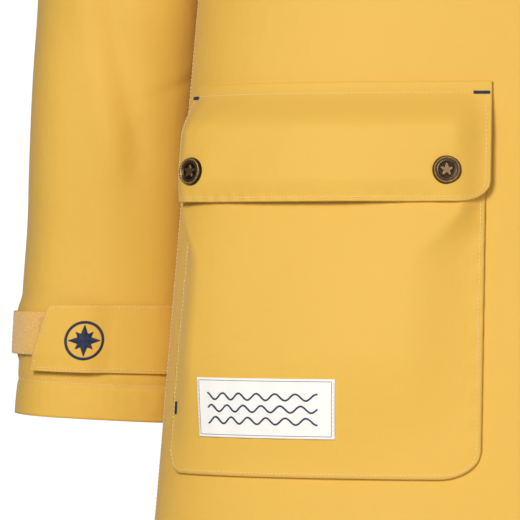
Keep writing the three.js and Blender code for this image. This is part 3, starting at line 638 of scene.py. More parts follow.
for side in SIDES:
    liner = cloth_sheet(
        f"lining_{side}", sided(front_shell, side), np.linspace(0.12, 0.99, 40),
        np.linspace(0.06, 1.625, 60), LINING_CLOTH, lining_inside, LINING,
    )
    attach(liner, "coat_body")
    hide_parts(f"front_lining_{side}")
liner = cloth_sheet(
    "lining_back", back_shell, np.linspace(-0.99, 0.99, 80), np.linspace(0.06, 1.875, 60),
    LINING_CLOTH, lining_inside, LINING,
)
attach(liner, "coat_body")
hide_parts("back_lining")
print("linings done")

# %% [markdown]
# ## Pockets
# A bellows pocket stands off the front.  Its flap is sewn above the mouth.

# %% Patch pockets
LAYER_GAP = 0.5
POCKET_BOTTOM, POCKET_MOUTH = 111.0, 331.0
POCKET_INNER, POCKET_OUTER = 12.9, 74.0
POCKET_RISE, POCKET_CORNER = 10.0, 17.0
FLAP_BOTTOM, FLAP_TOP = 272.0, 344.0
FLAP_INNER, FLAP_OUTER = 12.2, 76.0
FLAP_CLOTH, FLAP_CORNER = 2.2, 13.0
FLAP_OVER = POCKET_RISE + CLOTH + 2.6 + 0.9 + 0.9


def pocket_inside(angle, height):
    across = (angle - POCKET_INNER) / (POCKET_OUTER - POCKET_INNER)
    up = (height - POCKET_BOTTOM) / (POCKET_MOUTH - POCKET_BOTTOM)
    # Below the flap the bellows fills out over a wide margin; round the snap studs it is full.
    margin = mix(0.36, 0.11, smoothstep(height, 232, 272))
    sides = smoothstep(1 - np.abs(2 * across - 1), 0, margin)
    mouth = mix(1, 0.35, smoothstep(height, 298, POCKET_MOUTH))
    rise = LAYER_GAP + POCKET_RISE * sides * smoothstep(up, 0, 0.35) * mouth
    inner = smoothstep(np.minimum(across, 1 - across), 0.02, 0.16) * smoothstep(up, 0.02, 0.2)
    soft = 0.9 * np.sin(angle / 6.5 + height / 60) + 0.7 * np.sin(height / 33 + angle / 14)
    pucker = 0.3 * np.sin(height / 2.6 + angle) * bump(np.minimum(across, 1 - across), 0.01, 0.02)
    return rise + inner * soft + front_folds(angle, height) + pucker


def pocket_shape(across, up):
    from_end = np.minimum(1, np.minimum(across, 1 - across) / 0.09)
    corner = POCKET_CORNER * (1 - np.sqrt(np.maximum(0, 1 - (1 - from_end) ** 2)))
    return mix(POCKET_INNER, POCKET_OUTER, across), mix(POCKET_BOTTOM + corner, POCKET_MOUTH, up)


def u_path(width, top, bottom, inset, corner):
    """Down one side, round the lower corners, and up the other side."""
    turn = np.radians(np.linspace(0, 90, 14))
    bend = corner - inset
    near = np.stack([corner - bend * np.cos(turn), bottom + corner - bend * np.sin(turn)], -1)
    far = np.stack([width - near[::-1, 0], near[::-1, 1]], -1)
    return np.concatenate([
        line(inset, top, inset, bottom + corner, 40), near[1:],
        line(corner, bottom + inset, width - corner, bottom + inset, 120)[1:-1], far,
        line(width - inset, bottom + corner, width - inset, top, 40)[1:],
    ])


POCKET_WIDTH = 232.0
edge_fine = np.linspace(0, 0.09, 22)[:-1]
across_steps = np.concatenate([edge_fine, np.linspace(0.09, 0.91, 100), 1 - edge_fine[::-1]])
for side in SIDES:
    wrap = sided(front_wrap, side)
    pocket = cloth_sheet(
        f"pocket_{side}", wrap, across_steps, np.linspace(0, 1, 120), CLOTH, pocket_inside,
        shape=pocket_shape,
    )
    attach(pocket, "coat_body")
    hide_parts(f"patch_pocket_{side}")
    path = u_path(POCKET_WIDTH, POCKET_MOUTH - 4, POCKET_BOTTOM, 2.2, POCKET_CORNER)
    path[:, 0] = mix(POCKET_INNER, POCKET_OUTER, path[:, 0] / POCKET_WIDTH)
    skin = lambda a, h: pocket_inside(a, h) + CLOTH + 0.1
    thread_for("coat_body").sew(wrap, path, skin)
    outer = POCKET_OUTER - 2.4
    tack_for("coat_body").tack(wrap, line(outer, 146, outer, 153.5, 20), skin, 2.0)
print("pocket", len(pocket.data.polygons))

# %% Pocket flaps
def flap_inside(angle, height):
    across = (angle - FLAP_INNER) / (FLAP_OUTER - FLAP_INNER)
    low_edge = mix(0.84, 1, smoothstep(height, FLAP_BOTTOM, FLAP_BOTTOM + 14))
    out = smoothstep(FLAP_TOP - height, 1, 32) * low_edge
    ends = mix(0.32, 1, smoothstep(across, 0, 0.085)) * mix(1, 0.42, smoothstep(across, 0.86, 1))
    rise = LAYER_GAP + out * ends * (FLAP_OVER + 3 * across**3)
    low = smoothstep(FLAP_TOP - height, 10, 60)
    soft = 0.8 * np.sin(angle / 5.2 + 1.0) * low + 0.5 * np.sin(angle / 2.9 + height / 17) * low
    soft = soft + 0.35 * np.sin((height + 2.2 * angle) / 5.5) * bump(angle, 62, 9) * bump(height, 318, 12)
    pucker = 0.22 * np.sin(angle * 2.1) * bump(height, FLAP_BOTTOM + 2, 3)
    return rise + soft + front_folds(angle, height) + pucker


def flap_shape(across, up):
    from_end = np.minimum(1, np.minimum(across / 0.07, (1 - across) / 0.1))
    corner = FLAP_CORNER * (1 - np.sqrt(np.maximum(0, 1 - (1 - from_end) ** 2)))
    return mix(FLAP_INNER, FLAP_OUTER, across), mix(FLAP_BOTTOM + corner, FLAP_TOP, up)


FLAP_WIDTH = 232.0
flap_fine = np.linspace(0, 0.07, 22)[:-1]
flap_across = np.concatenate([flap_fine, np.linspace(0.07, 0.93, 160), 1 - flap_fine[::-1]])


def hinge_flap(obj):
    """Bakes the placement of a pocket-flap piece into its mesh."""
    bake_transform(obj)


for side in SIDES:
    wrap = sided(front_wrap, side)
    flap = cloth_sheet(
        f"flap_{side}", wrap, flap_across, np.linspace(0, 1, 90), FLAP_CLOTH, flap_inside,
        shape=flap_shape,
    )
    hinge_flap(flap)
    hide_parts(f"pocket_flap_{side}")
    sewn = Threadwork(f"flap_stitches_{side}", THREAD)
    skin = lambda a, h: flap_inside(a, h) + FLAP_CLOTH + 0.1
    path = u_path(FLAP_WIDTH, FLAP_TOP - 7, FLAP_BOTTOM, 2.3, FLAP_CORNER)
    path[:, 0] = mix(FLAP_INNER, FLAP_OUTER, path[:, 0] / FLAP_WIDTH)
    sewn.sew(wrap, path, skin)
    sewn.sew(wrap, line(FLAP_INNER + 1, FLAP_TOP - 6.9, FLAP_OUTER - 1, FLAP_TOP - 6.9, 120), skin)
    hinge_flap(sewn.done())
    bars = Threadwork(f"flap_tacks_{side}", NAVY)
    bars.tack(wrap, line(FLAP_INNER + 0.3, FLAP_TOP - 6.9, FLAP_INNER + 2.5, FLAP_TOP - 6.9, 20), skin, 2.0)
    bars.tack(wrap, line(FLAP_OUTER - 3.2, FLAP_TOP - 7.6, FLAP_OUTER - 0.2, FLAP_TOP - 7.6, 20), skin, 2.0)
    hinge_flap(bars.done())
print("flap", len(flap.data.polygons))

# %% [markdown]
# ## Sleeves
# Each sleeve is one tube.  It starts inside the armhole, so that only a thin seam line opens when
# the arm is lifted.

# %% Sleeve surface
ELBOW = dict(x=286.0, y=42.0, height=405.0, across=54.0, along=51.0)
CUFF = dict(x=301.0, y=45.0, height=139.0, across=54.0, along=43.0)
ARMHOLE_GAP = 1.4
SHOULDER_PIVOT = np.array([-227.5, 8.0, 785.5])
TUCK_TURN = math.radians(21)


def sleeve_ring(ring, angle, height):
    turn = np.radians(angle)
    return stack(
        -ring["x"] - ring["across"] * np.cos(turn), ring["y"] - ring["along"] * np.sin(turn), height
    )


def armhole(angle):
    turn = np.mod(angle, 360)
    front = front_shell[0](np.ones_like(turn), np.clip(2 - turn / 180, 1, 2))
    back = back_half[0](np.ones_like(turn), np.clip(turn / 180, 1, 2))
    edge = np.where((turn <= 180)[..., None], front, back)
    edge[..., 0] -= ARMHOLE_GAP
    return edge


def upper_arm(angle, t):
    start = armhole(angle)
    end = sleeve_ring(ELBOW, angle, ELBOW["height"])
    reach = np.linalg.norm(end - start, axis=-1, keepdims=True)
    leave = np.array([-0.66, 0.1, -0.5]) * reach * 0.9
    arrive = np.array([-0.03, 0, -1.0]) * reach
    t = t[..., None]
    return (
        start * (2 * t**3 - 3 * t**2 + 1) + leave * (t**3 - 2 * t**2 + t)
        + end * (3 * t**2 - 2 * t**3) + arrive * (t**3 - t**2)
    )


def forearm(angle, height):
    t = (ELBOW["height"] - height) / (ELBOW["height"] - CUFF["height"])
    ring = {key: mix(ELBOW[key], CUFF[key], t) for key in ("x", "y", "across", "along")}
    return sleeve_ring(ring, angle, height)


def tucked(angle, depth):
    """Inside the body: the armhole ring, drawn in and swept about the shoulder."""
    edge = armhole(angle)
    middle = np.array([-222.0, 8.0, 665.0])
    edge = edge + (middle - edge) * (0.045 * np.minimum(1, depth * 4))[..., None]
    turn = -TUCK_TURN * depth
    arm = edge - SHOULDER_PIVOT
    x = arm[..., 0] * np.cos(turn) + arm[..., 2] * np.sin(turn)
    z = arm[..., 2] * np.cos(turn) - arm[..., 0] * np.sin(turn)
    return SHOULDER_PIVOT + stack(x, arm[..., 1], z)


def whole_sleeve(angle, run):
    """run: -1 to 0 inside the body, 0 to 1 upper arm, 1 to 2 forearm."""
    height = mix(ELBOW["height"], CUFF["height"], np.clip(run - 1, 0, 1))
    height = height + 2.8 * np.cos(np.radians(angle)) * smoothstep(run, 1.6, 2)
    inside = tucked(angle, np.clip(-run, 0, 1))
    upper = upper_arm(angle, np.clip(run, 0, 1))
    lower = forearm(angle, height)
    return np.where((run < 0)[..., None], inside, np.where((run <= 1)[..., None], upper, lower))


sleeve_surface = (whole_sleeve, -1)
forearm_surface = (forearm, 1)


def away(angle, centre):
    return np.mod(angle - centre + 180, 360) - 180


def sleeve_folds(angle, height):
    """Soft folds of a hanging sleeve; height is measured above the hem."""
    long_ridge = 80 + smoothstep(403 - height, 0, 110) * 22
    fade = smoothstep(height, 268, 318) * (1 - smoothstep(height, 480, 560))
    ridge = bump(away(angle, long_ridge - 13), 0, 11)
    valley = bump(away(angle, long_ridge + 6), 0, 9)
    folds = fade * (1.7 * ridge - 2.2 * valley)
    pinch = away(angle, 149 + (height - 354) * 1.6)
    folds = folds - 0.7 * bump(pinch, 0, 16) * bump(height, 354 + away(angle, 149) * 0.35, 5)
    folds = folds + 0.3 * bump(height, 362 + away(angle, 150) * 0.3, 7) * bump(pinch, 0, 22)
    outer = bump(away(angle, 20), 0, 34)
    folds = folds + 4.5 * bump(away(angle, 136), 0, 24) + 3.0 * bump(away(angle, 46), 0, 24)
    folds = folds + 1.6 * outer * np.sin(height / 47 + 1.2) * smoothstep(height, 225, 290)
    folds = folds + 1.3 * np.sin(height / 58 + np.radians(angle) * 2) * smoothstep(height, 215, 280)
    elbow = bump(height, 432, 60) * bump(away(angle, 100), 0, 70)
    folds = folds + 2.2 * elbow * np.sin(height / 13.0 + np.radians(angle) * 1.5)
    back = bump(away(angle, 265), 0, 50)
    folds = folds + 2.4 * back * np.sin(height / 31 + 2 * np.sin(np.radians(angle) * 2))
    return folds * (1 - smoothstep(height, 640, 730))


def sleeve_relief(angle, run):
    height = np.where(run > 1, mix(ELBOW["height"], CUFF["height"], run - 1), mix(730, ELBOW["height"], run))
    calm = smoothstep(run, 0.02, 0.14)
    flare = 0.9 * smoothstep(165 - height, 0, 22)
    groove = -0.7 * bump(height, 161, 1.6)
    turn = np.radians(angle)
    pucker = 0.16 * np.sin(turn * 41 + 2.6 * np.sin(turn * 7)) * np.sin(turn * 5) * bump(height, 154, 8)
    tape_rows = smoothstep(height, 172, 182) * (1 - smoothstep(height, 205, 218))
    tape = 2.6 * bump(away(angle, 15), 0, 45) * tape_rows
    under_tab = 1.0 * np.sin((height - 150) / 5.5) * bump(away(angle, 146), 0, 12) * bump(height, 160, 14)
    return calm * (sleeve_folds(angle, height) + flare + groove + pucker + tape + under_tab)


runs = np.concatenate([
    np.linspace(-1, 0, 12)[:-1], np.linspace(0, 1, 75)[:-1], np.linspace(1, 2, 160),
])
angles = np.linspace(0, 360, 170)


def tube(name, surface, around, along, inner, outer, material):
    """A closed tube of cloth: its outside and inside joined at both ends."""
    u, v = np.meshgrid(around[:-1], along)
    out = on(surface, u, v, outer(u, v))
    into = on(surface, u, v, inner(u, v))
    rows, columns = u.shape
    count = rows * columns
    index = np.arange(count).reshape(rows, columns)
    wrap = np.roll(index, -1, axis=1)
    quads = np.stack([index[:-1], wrap[:-1], wrap[1:], index[1:]], -1).reshape(-1, 4)
    ends = [
        np.stack([index[row], wrap[row], wrap[row] + count, index[row] + count], -1) for row in (0, -1)
    ]
    faces = np.concatenate([quads, quads[:, ::-1] + count, *ends])
    uvs = np.concatenate([arc_uv(out), arc_uv(into)])
    return new_object(name, np.concatenate([out.reshape(-1, 3), into.reshape(-1, 3)]), faces, material, uvs)


def bend_elbow(obj):
    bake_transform(obj)


for side in SIDES:
    arm = sided(sleeve_surface, side)
    sleeve = tube(
        f"sleeve_{side}_cloth", arm, angles, runs, lambda a, r: sleeve_relief(a, r) - CLOTH,
        sleeve_relief, COATED,
    )
    bend_elbow(sleeve)
    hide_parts(f"upper_sleeve_{side}", f"forearm_sleeve_{side}")
    sewn = Threadwork(f"sleeve_stitches_{side}", THREAD)
    skin = lambda a, r: sleeve_relief(a, r) + 0.1
    hem = 1 + (ELBOW["height"] - 161) / (ELBOW["height"] - CUFF["height"])
    sewn.sew(arm, line(0, hem, 360, hem, 240), skin)
    sewn.sew(arm, line(0, 0.035, 360, 0.035, 240), skin)
    sewn.sew(arm, line(258, 0.05, 258, 1.99, 200), skin)
    bend_elbow(sewn.done())
print("sleeve", len(sleeve.data.polygons))

# %% [markdown]
# A strip of soft loops runs round the cuff.  The tab over it carries hooks on its underside and,
# on the wearer's right, an embroidered compass rose.

# %% Cuffs
LOOP_THICKNESS, HOOK_THICKNESS, TAB_CLOTH = 1.8, 1.3, 2.0
TAB_LOW, TAB_HIGH = 167.5, 211.5
LOOP_ANGLES, LOOP_LOW, LOOP_HIGH = (-20, 78), 179.5, 206.5
HOOK_ANGLES, HOOK_LOW, HOOK_HIGH = (50, 74), 176, 203
HOOK_LIFT = LAYER_GAP + LOOP_THICKNESS + LAYER_GAP


def cuff_relief(angle, height):
    run = 1 + (ELBOW["height"] - height) / (ELBOW["height"] - CUFF["height"])
    return sleeve_relief(angle, run)


def tab_inside(angle, height):
    out = smoothstep(98 - angle, 0, 20)
    soft = 0.35 * np.sin(height / 8.5 + angle / 13) * smoothstep(angle, 60, 90)
    edges = bump(height, TAB_LOW, 2) + bump(height, TAB_HIGH, 2)
    pucker = 0.07 * np.sin(angle * 1.9 + 2 * np.sin(angle / 9)) * edges
    return LAYER_GAP + out * (HOOK_LIFT + HOOK_THICKNESS) + soft + pucker + cuff_relief(angle, height)


TAB_ROUND = 0.05


def tab_shape(across, up):
    """The free end slants, and its corners are a little rounded."""
    height = mix(TAB_LOW + 2.2 * (1 - across), TAB_HIGH, up)
    end = mix(44.5, 57, up)
    near = np.minimum(up, 1 - up)
    corner = 1.8 * (1 - np.sqrt(np.maximum(0, 1 - np.maximum(0, 1 - near / TAB_ROUND) ** 2)))
    return mix(end + corner, mix(141, 152, up), across), height


def hinge_tab(obj):
    """Bakes the placement of a cuff-tab piece into its mesh."""
    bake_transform(obj)


fuzz = np.random.default_rng(4)
for side in SIDES:
    cuff = sided(forearm_surface, side)
    strip_skin = lambda a, h: LAYER_GAP + cuff_relief(a, h)
    tape = cloth_sheet(
        f"loop_tape_{side}", cuff, np.linspace(*LOOP_ANGLES, 190), np.linspace(LOOP_LOW, LOOP_HIGH, 60),
        LOOP_THICKNESS, lambda a, h: strip_skin(a, h) + 0.16 * fuzz.standard_normal(a.shape), PILE,
    )
    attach(tape, f"forearm_{side}")
    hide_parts(f"cuff_loop_strip_{side}")
    hooks = cloth_sheet(
        f"hook_tape_{side}", cuff, np.linspace(*HOOK_ANGLES, 30), np.linspace(HOOK_LOW, HOOK_HIGH, 30),
        HOOK_THICKNESS, lambda a, h: HOOK_LIFT + cuff_relief(a, h), HOOKS,
    )
    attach(hooks, f"cuff_tab_{side}")
    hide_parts(f"cuff_hook_patch_{side}")
    tab_vs = np.concatenate(
        [np.linspace(0, 0.05, 8)[:-1], np.linspace(0.05, 0.95, 70), np.linspace(0.95, 1, 8)[1:]]
    )
    tab = cloth_sheet(
        f"tab_{side}", cuff, np.linspace(0, 1, 170), tab_vs, TAB_CLOTH, tab_inside, shape=tab_shape
    )
    hinge_tab(tab)
    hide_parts(f"cuff_tab_{side}")
    skin = lambda a, h: tab_inside(a, h) + TAB_CLOTH + 0.1
    outline = [(150, TAB_HIGH - 2.1), (58.5, TAB_HIGH - 2.1), (47.5, TAB_LOW + 4.2), (141, TAB_LOW + 2.1)]
    path = np.concatenate([line(*a, *b, 60) for a, b in zip(outline[:-1], outline[1:])])
    sewn = Threadwork(f"tab_stitches_{side}", THREAD)
    sewn.sew(cuff, path, skin)
    sewn.sew(cuff, line(*outline[0], *outline[3], 30), skin)
    hinge_tab(sewn.done())
print("cuff tab", len(tab.data.polygons))

# %% [markdown]
# ## Storm flap, zip, collar and hood

# %% Storm flap
STORM_HINGE_X, STORM_FREE_X = -35.0, 36.0
STORM_RISE, STORM_SNAP_RISE, STORM_CLOTH, STORM_SNAP_X = 10.5, 7.0, 2.4, 26.0
STORM_LOW, STORM_HIGH = 18.0, 764.0


def storm_inside(x, height):
    over = STORM_RISE * smoothstep(x, STORM_HINGE_X, STORM_HINGE_X + 17)
    down = (STORM_RISE - STORM_SNAP_RISE) * smoothstep(x, 8, 16.5)
    free = smoothstep(x, -20, 30)
    return LAYER_GAP + over - down + free * 0.5 * np.sin(height / 22) * np.sin(height / 71)


def hinge_storm(obj):
    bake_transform(obj)


storm = cloth_sheet(
    "storm", strip, np.linspace(STORM_HINGE_X, STORM_FREE_X, 60),
    np.linspace(STORM_LOW, STORM_HIGH, 480), STORM_CLOTH, storm_inside,
)
hinge_storm(storm)
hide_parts("storm_flap")
sewn = Threadwork("storm_stitches", THREAD)
skin = lambda x, h: storm_inside(x, h) + STORM_CLOTH + 0.1
for path in (
    line(STORM_FREE_X - 3.5, STORM_LOW + 3.5, STORM_FREE_X - 3.5, STORM_HIGH - 3.5, 300),
    line(STORM_HINGE_X + 3, STORM_HIGH - 3.5, STORM_FREE_X - 3.5, STORM_HIGH - 3.5, 30),
    line(STORM_HINGE_X + 3, STORM_LOW + 3.5, STORM_FREE_X - 3.5, STORM_LOW + 3.5, 30),
    line(STORM_HINGE_X + 3.5, STORM_LOW + 4, STORM_HINGE_X + 3.5, STORM_HIGH - 4, 300),
):
    sewn.sew(strip, path, skin)
hinge_storm(sewn.done())
print("storm flap", len(storm.data.polygons))

# %% Zip
ZIP_LOW, ZIP_HIGH = 28, 758
BOX_HEIGHT, STOP_HEIGHT = 9.5, 6.5
TAPE_LIFT, TEETH_LIFT, TEETH_PITCH = -5.7, -5.2, 1.5
for side in SIDES:
    way = -1 if side == "right" else 1
    tape_box = box_mm(f"zip_tape_{side}")
    tape = cloth_sheet(
        f"tape_{side}", strip,
        np.linspace(tape_box[0][0], tape_box[1][0], 14), np.linspace(ZIP_LOW, ZIP_HIGH, 200), 1.0,
        lambda x, h: 0 * x + TAPE_LIFT, WEBBING,
    )
    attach(tape, "coat_body")
    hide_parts(f"zip_tape_{side}")
    teeth = Threadwork(f"teeth_{side}", COIL)
    coil_low, coil_high = box_mm(f"zip_coil_{side}")
    middle = (coil_low[0] + coil_high[0]) / 2
    chain_line = line(middle, ZIP_LOW + BOX_HEIGHT, middle, ZIP_HIGH - STOP_HEIGHT, 200)
    centres, along, normal = path_frames(strip, chain_line, TEETH_LIFT, TEETH_PITCH)
    centres[:, 2] += 0 if side == "right" else TEETH_PITCH / 2
    teeth.lay(centres, np.cross(normal, along), normal, coil_high[0] - coil_low[0], 0.58, 1.9)
    chain = teeth.done()
    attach(chain, "coat_body")
    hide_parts(f"zip_coil_{side}")
print("zip teeth", len(centres) * 2)

# %% Collar
COLLAR_HEIGHT, COLLAR_FRONT_ANGLE, COLLAR_OFFSET, NECK_CLEAR = 52.0, 10.0, -1.0, 3.4


def neck_ring(angle, offset, rise):
    """0 degrees is centre front, 90 the right side, 180 centre back."""
    turn = np.where(angle <= 180, angle, 360 - angle)
    front = neckline("front", turn)
    rear = neckline("back", np.maximum(0, 180 - turn))
    seam = np.where((turn <= 90)[..., None], front, rear)
    flat = seam[..., :2] / np.maximum(1e-6, np.linalg.norm(seam[..., :2], axis=-1, keepdims=True))
    x = seam[..., 0] + flat[..., 0] * offset
    x = np.where(angle <= 180, x, -x)
    return stack(x, seam[..., 1] + flat[..., 1] * offset, seam[..., 2] + rise)


def collar(name, node, offset, cloth, rise, material):
    round_neck = np.linspace(COLLAR_FRONT_ANGLE, 360 - COLLAR_FRONT_ANGLE, 190)
    a, z = np.meshgrid(round_neck, np.linspace(NECK_CLEAR, COLLAR_HEIGHT * rise, 26))
    soft = 0.5 * np.sin(np.radians(a) * 7) * smoothstep(z, 5, 40)
    ring = shell(name, neck_ring(a, offset + soft, z), neck_ring(a, offset + soft - cloth, z), material)
    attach(ring, "coat_body")
    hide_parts(node)


collar("collar", "collar_outer", COLLAR_OFFSET, CLOTH, 1.0, COATED)
collar(
    "collar_inside", "collar_lining", COLLAR_OFFSET - CLOTH - LAYER_GAP, LINING_CLOTH, 0.97, LINING
)
print("collar done")

# %% Hood
HOOD_OFFSET, HOOD_CLOTH, HOOD_WIDTH, HOOD_CENTRE_START = 7.0, 1.6, 92.0, 0.8
HOOD_CENTRE_END = 2 - HOOD_CENTRE_START
HOOD_LINING_GAP = 4.9
CROWN, BROW, HOOD_BACK = (18.0, 1112.0), (-92.0, 1068.0), (122.0, 985.0)


def quadratic(a, b, c, t):
    t = t[..., None]
    return a * (1 - t) ** 2 + b * 2 * t * (1 - t) + c * t**2


def hood_spine(along):
    brow = np.array([0, *BROW])
    back_point = np.array([0, *HOOD_BACK])
    over_crown = np.array([0, CROWN[0] + 40, CROWN[1] + 52])
    over = quadratic(brow, over_crown, back_point, np.clip(along / 0.6, 0, 1))
    nape = neck_ring(np.array(180.0), HOOD_OFFSET, NECK_CLEAR + 6)
    bend = np.array([0, HOOD_BACK[0] + 3, HOOD_BACK[1] - 80])
    down = quadratic(back_point, bend, nape, np.clip((along - 0.6) / 0.4, 0, 1))
    return np.where((along < 0.6)[..., None], over, down)


def hood_over(across, along):
    """across: 0 right neck seam, 1 centre line, 2 left neck seam."""
    across, along = np.clip(across, 0, 2), np.clip(along, 0, 1)
    share = np.where(across <= 1, across, 2 - across)
    base = neck_ring(mix(14, 166, along), HOOD_OFFSET, NECK_CLEAR)
    top = hood_spine(along)
    swell = np.maximum(0, np.sin(np.pi * share)) ** 0.75
    spread = HOOD_WIDTH * (1 - along**2.2) * swell
    keep = np.maximum(0, np.cos(share * np.pi / 2)) ** 0.9
    width = np.maximum(base[..., 0] * -keep, 0) * (1 - 0.45 * share) + spread * 0.72
    up = np.maximum(0, np.sin(share * np.pi / 2)) ** 1.15
    y = mix(base[..., 1], top[..., 1], share**0.8)
    z = mix(base[..., 2], top[..., 2], up)
    return stack(np.where(across <= 1, -width, width), y, z)


hood_surface = (hood_over, 1)


def hood_folds(across, along):
    share = np.where(across <= 1, across, 2 - across)
    low = bump(share, 0.16, 0.14)
    edge = smoothstep(share, 0.0, 0.06) * smoothstep(along, 0.02, 0.1) * (1 - smoothstep(along, 0.9, 1))
    return edge * (1.5 * low * np.sin(along * 17 + across * 5) + 0.9 * np.sin(share * 8 + along * 6))


def bend_hood(obj):
    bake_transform(obj)


def hood_part(name, nodes, shares, rows, outside, cloth, material):
    part = cloth_sheet(
        name, hood_surface, shares, rows, cloth, lambda s, r: hood_folds(s, r) + outside - cloth, material
    )
    bend_hood(part)
    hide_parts(*nodes)


rows = np.linspace(0, 1, 110)
for name, node, start, end, count in (
    ("hood_right", "hood_panel_right", 0, HOOD_CENTRE_START, 80),
    ("hood_left", "hood_panel_left", HOOD_CENTRE_END, 2, 80),
    ("hood_centre", "hood_centre_panel", HOOD_CENTRE_START, HOOD_CENTRE_END, 60),
):
    shares = np.linspace(start, end, count)
    hood_part(name, [node], shares, rows, 0, HOOD_CLOTH, COATED)
hood_part(
    "hood_inside", ["hood_lining"], np.linspace(0.1, 1.9, 130), np.linspace(0.03, 0.95, 80),
    -HOOD_CLOTH - HOOD_LINING_GAP, LINING_CLOTH, LINING,
)
sewn = Threadwork("hood_stitches", THREAD)
skin = lambda s, r: hood_folds(s, r) + 0.1
for share in (0.775, 0.815, 1.185, 1.225):
    sewn.sew(hood_surface, line(share, 0.01, share, 0.99, 200), skin)
sewn.sew(hood_surface, line(0.02, 0.035, 1.98, 0.035, 260), skin)
bend_hood(sewn.done())


def hood_peak():
    s, out = np.meshgrid(np.linspace(0.62, 1.38, 90), np.linspace(0, 1, 24))
    middle = np.maximum(0, 1 - ((s - 1) / 0.38) ** 2)
    reach = stack(0, -1.6 - out * 34 * middle**0.6, -out * 5 * middle)
    edge = lambda lift: on(hood_surface, s, 0.002 + 0 * s, lift) + reach
    return shell("peak", edge(HOOD_CLOTH / 2 + 0 * s), edge(HOOD_CLOTH / 2 - 2.4 + 0 * s), COATED)


peak = hood_peak()
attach(peak, "hood")
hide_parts("hood_peak")
print("hood done")

# %% [markdown]
# ## Snaps and other metal
# A snap cap is a turned disc with a rope edge and a small star raised in its middle.

# %% Snap caps
SNAP_RADIUS = 8.5
BRASS_PLAIN = plain_material("brass_hardware", "#7d6440", 0.38, 0.9)


def star_edge(turn, points, long, short):
    part = np.mod(turn, 2 * math.pi / points) / (math.pi / points)
    return mix(long, short, 1 - np.abs(part - 1))


def cap_height(radius, turn):
    rim = bump(radius, 7.1, 1.0)
    rope = 0.24 * np.sin(turn * 34 + radius * 2.2) * bump(radius, 7.2, 0.75)
    bead = 0.35 * bump(radius, 5.3, 0.35)
    star = 0.55 * smoothstep(star_edge(turn, 5, 4.3, 1.9) - radius, -0.2, 0.35)
    drop = -1.5 * smoothstep(radius, 7.7, SNAP_RADIUS)
    return 1.0 + 0.95 * rim + rope + bead + star + drop


def snap_cap(name, origin, across, up, out):
    rings = np.concatenate([[0.02], np.linspace(0.3, SNAP_RADIUS, 44)])
    turns = np.linspace(0, 2 * math.pi, 129)[:-1]
    r, t = np.meshgrid(rings, turns, indexing="ij")
    height = cap_height(r, t)
    base = np.full((1, len(turns)), -0.4)
    r = np.concatenate([r, r[-1:], r[:1] * 0 + 0.02])
    t = np.concatenate([t, t[-1:], t[-1:]])
    height = np.concatenate([height, base, base])
    spots = (
        origin + across * (r * np.sin(t))[..., None] + up * (r * np.cos(t))[..., None]
        + out * height[..., None]
    )
    rows, columns = r.shape
    index = np.arange(rows * columns).reshape(rows, columns)
    wrap = np.roll(index, -1, axis=1)
    faces = np.stack([index[:-1], wrap[:-1], wrap[1:], index[1:]], -1).reshape(-1, 4).tolist()
    faces += [index[0].tolist()[::-1], index[-1].tolist()]
    cap = new_object(name, spots.reshape(-1, 3), faces, BRASS)
    low = 1.0 + 0 * height
    rub = np.clip((height - low) / 1.1, 0, 1)
    attribute = cap.data.attributes.new("rub", "FLOAT", "POINT")
    attribute.data.foreach_set("value", rub.ravel().astype(np.float32))
    return cap


def seat(surface, u, v, lift, du, dv):
    """Origin, right, up and outward directions on a lifted surface."""
    at = lambda a, b: on(surface, np.array(a), np.array(b), lift(np.array(a), np.array(b)))
    right, up = at(u + du, v) - at(u - du, v), at(u, v + dv) - at(u, v - dv)
    up /= np.linalg.norm(up)
    right -= up * (right @ up)
    right /= np.linalg.norm(right)
    out = np.cross(right, up)
    origin = at(u, v)
    if (on(surface, np.array(u), np.array(v), lift(np.array(u), np.array(v)) + 1) - origin) @ out < 0:
        right, out = -right, -out
    return origin, right, up, out


SNAP_ANGLES = {"inner": 18.0, "outer": 65.0}
SNAP_HEIGHT = 290.0
STORM_SNAPS, STORM_SNAP_FIRST, STORM_SNAP_PITCH = 4, 80.0, 142
for side in SIDES:
    wrap = sided(front_wrap, side)
    skin = lambda a, h: flap_inside(a, h) + FLAP_CLOTH
    for place, angle in SNAP_ANGLES.items():
        cap = snap_cap(f"snap_{place}_{side}", *seat(wrap, angle, SNAP_HEIGHT, skin, 1.6, 6.0))
        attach(cap, f"pocket_flap_{side}")
        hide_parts(f"pocket_snap_cap_{place}_{side}")
for index in range(STORM_SNAPS):
    skin = lambda x, h: storm_inside(x, h) + STORM_CLOTH
    height = STORM_SNAP_FIRST + STORM_SNAP_PITCH * index
    cap = snap_cap(f"storm_snap_{index + 1}", *seat(strip, STORM_SNAP_X, height, skin, 3.0, 3.0))
    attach(cap, "storm_flap")
    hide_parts(f"storm_snap_cap_{index + 1}")

for name, node in frame["nodes"].items():
    if any(word in name for word in ("stud", "eyelet", "slider", "puller", "stop", "bottom_box")):
        node.data.materials.clear()
        node.data.materials.append(BRASS_PLAIN)
print("snap caps", len(SIDES) * len(SNAP_ANGLES) + STORM_SNAPS)

# %% [markdown]
# ## Labels and embroidery
# The label carries plain waves.  The embroidery is laid thread by thread, as satin stitch.

# %% Labels
LABEL_INNER, LABEL_OUTER, LABEL_LOW, LABEL_HIGH = 33.4, 61.5, 133.6, 168.4
LABEL_WIDTH, LABEL_TALL, LABEL_CLOTH = 79.0, 34.8, 0.6
right_wrap = sided(front_wrap, "right")


def label_inside(angle, height):
    edge = np.minimum(np.abs(angle - LABEL_INNER), np.abs(angle - LABEL_OUTER))
    return pocket_inside(angle, height) + CLOTH + 0.3 + 0.25 * np.sin(angle * 0.9) * smoothstep(edge, 0, 4)


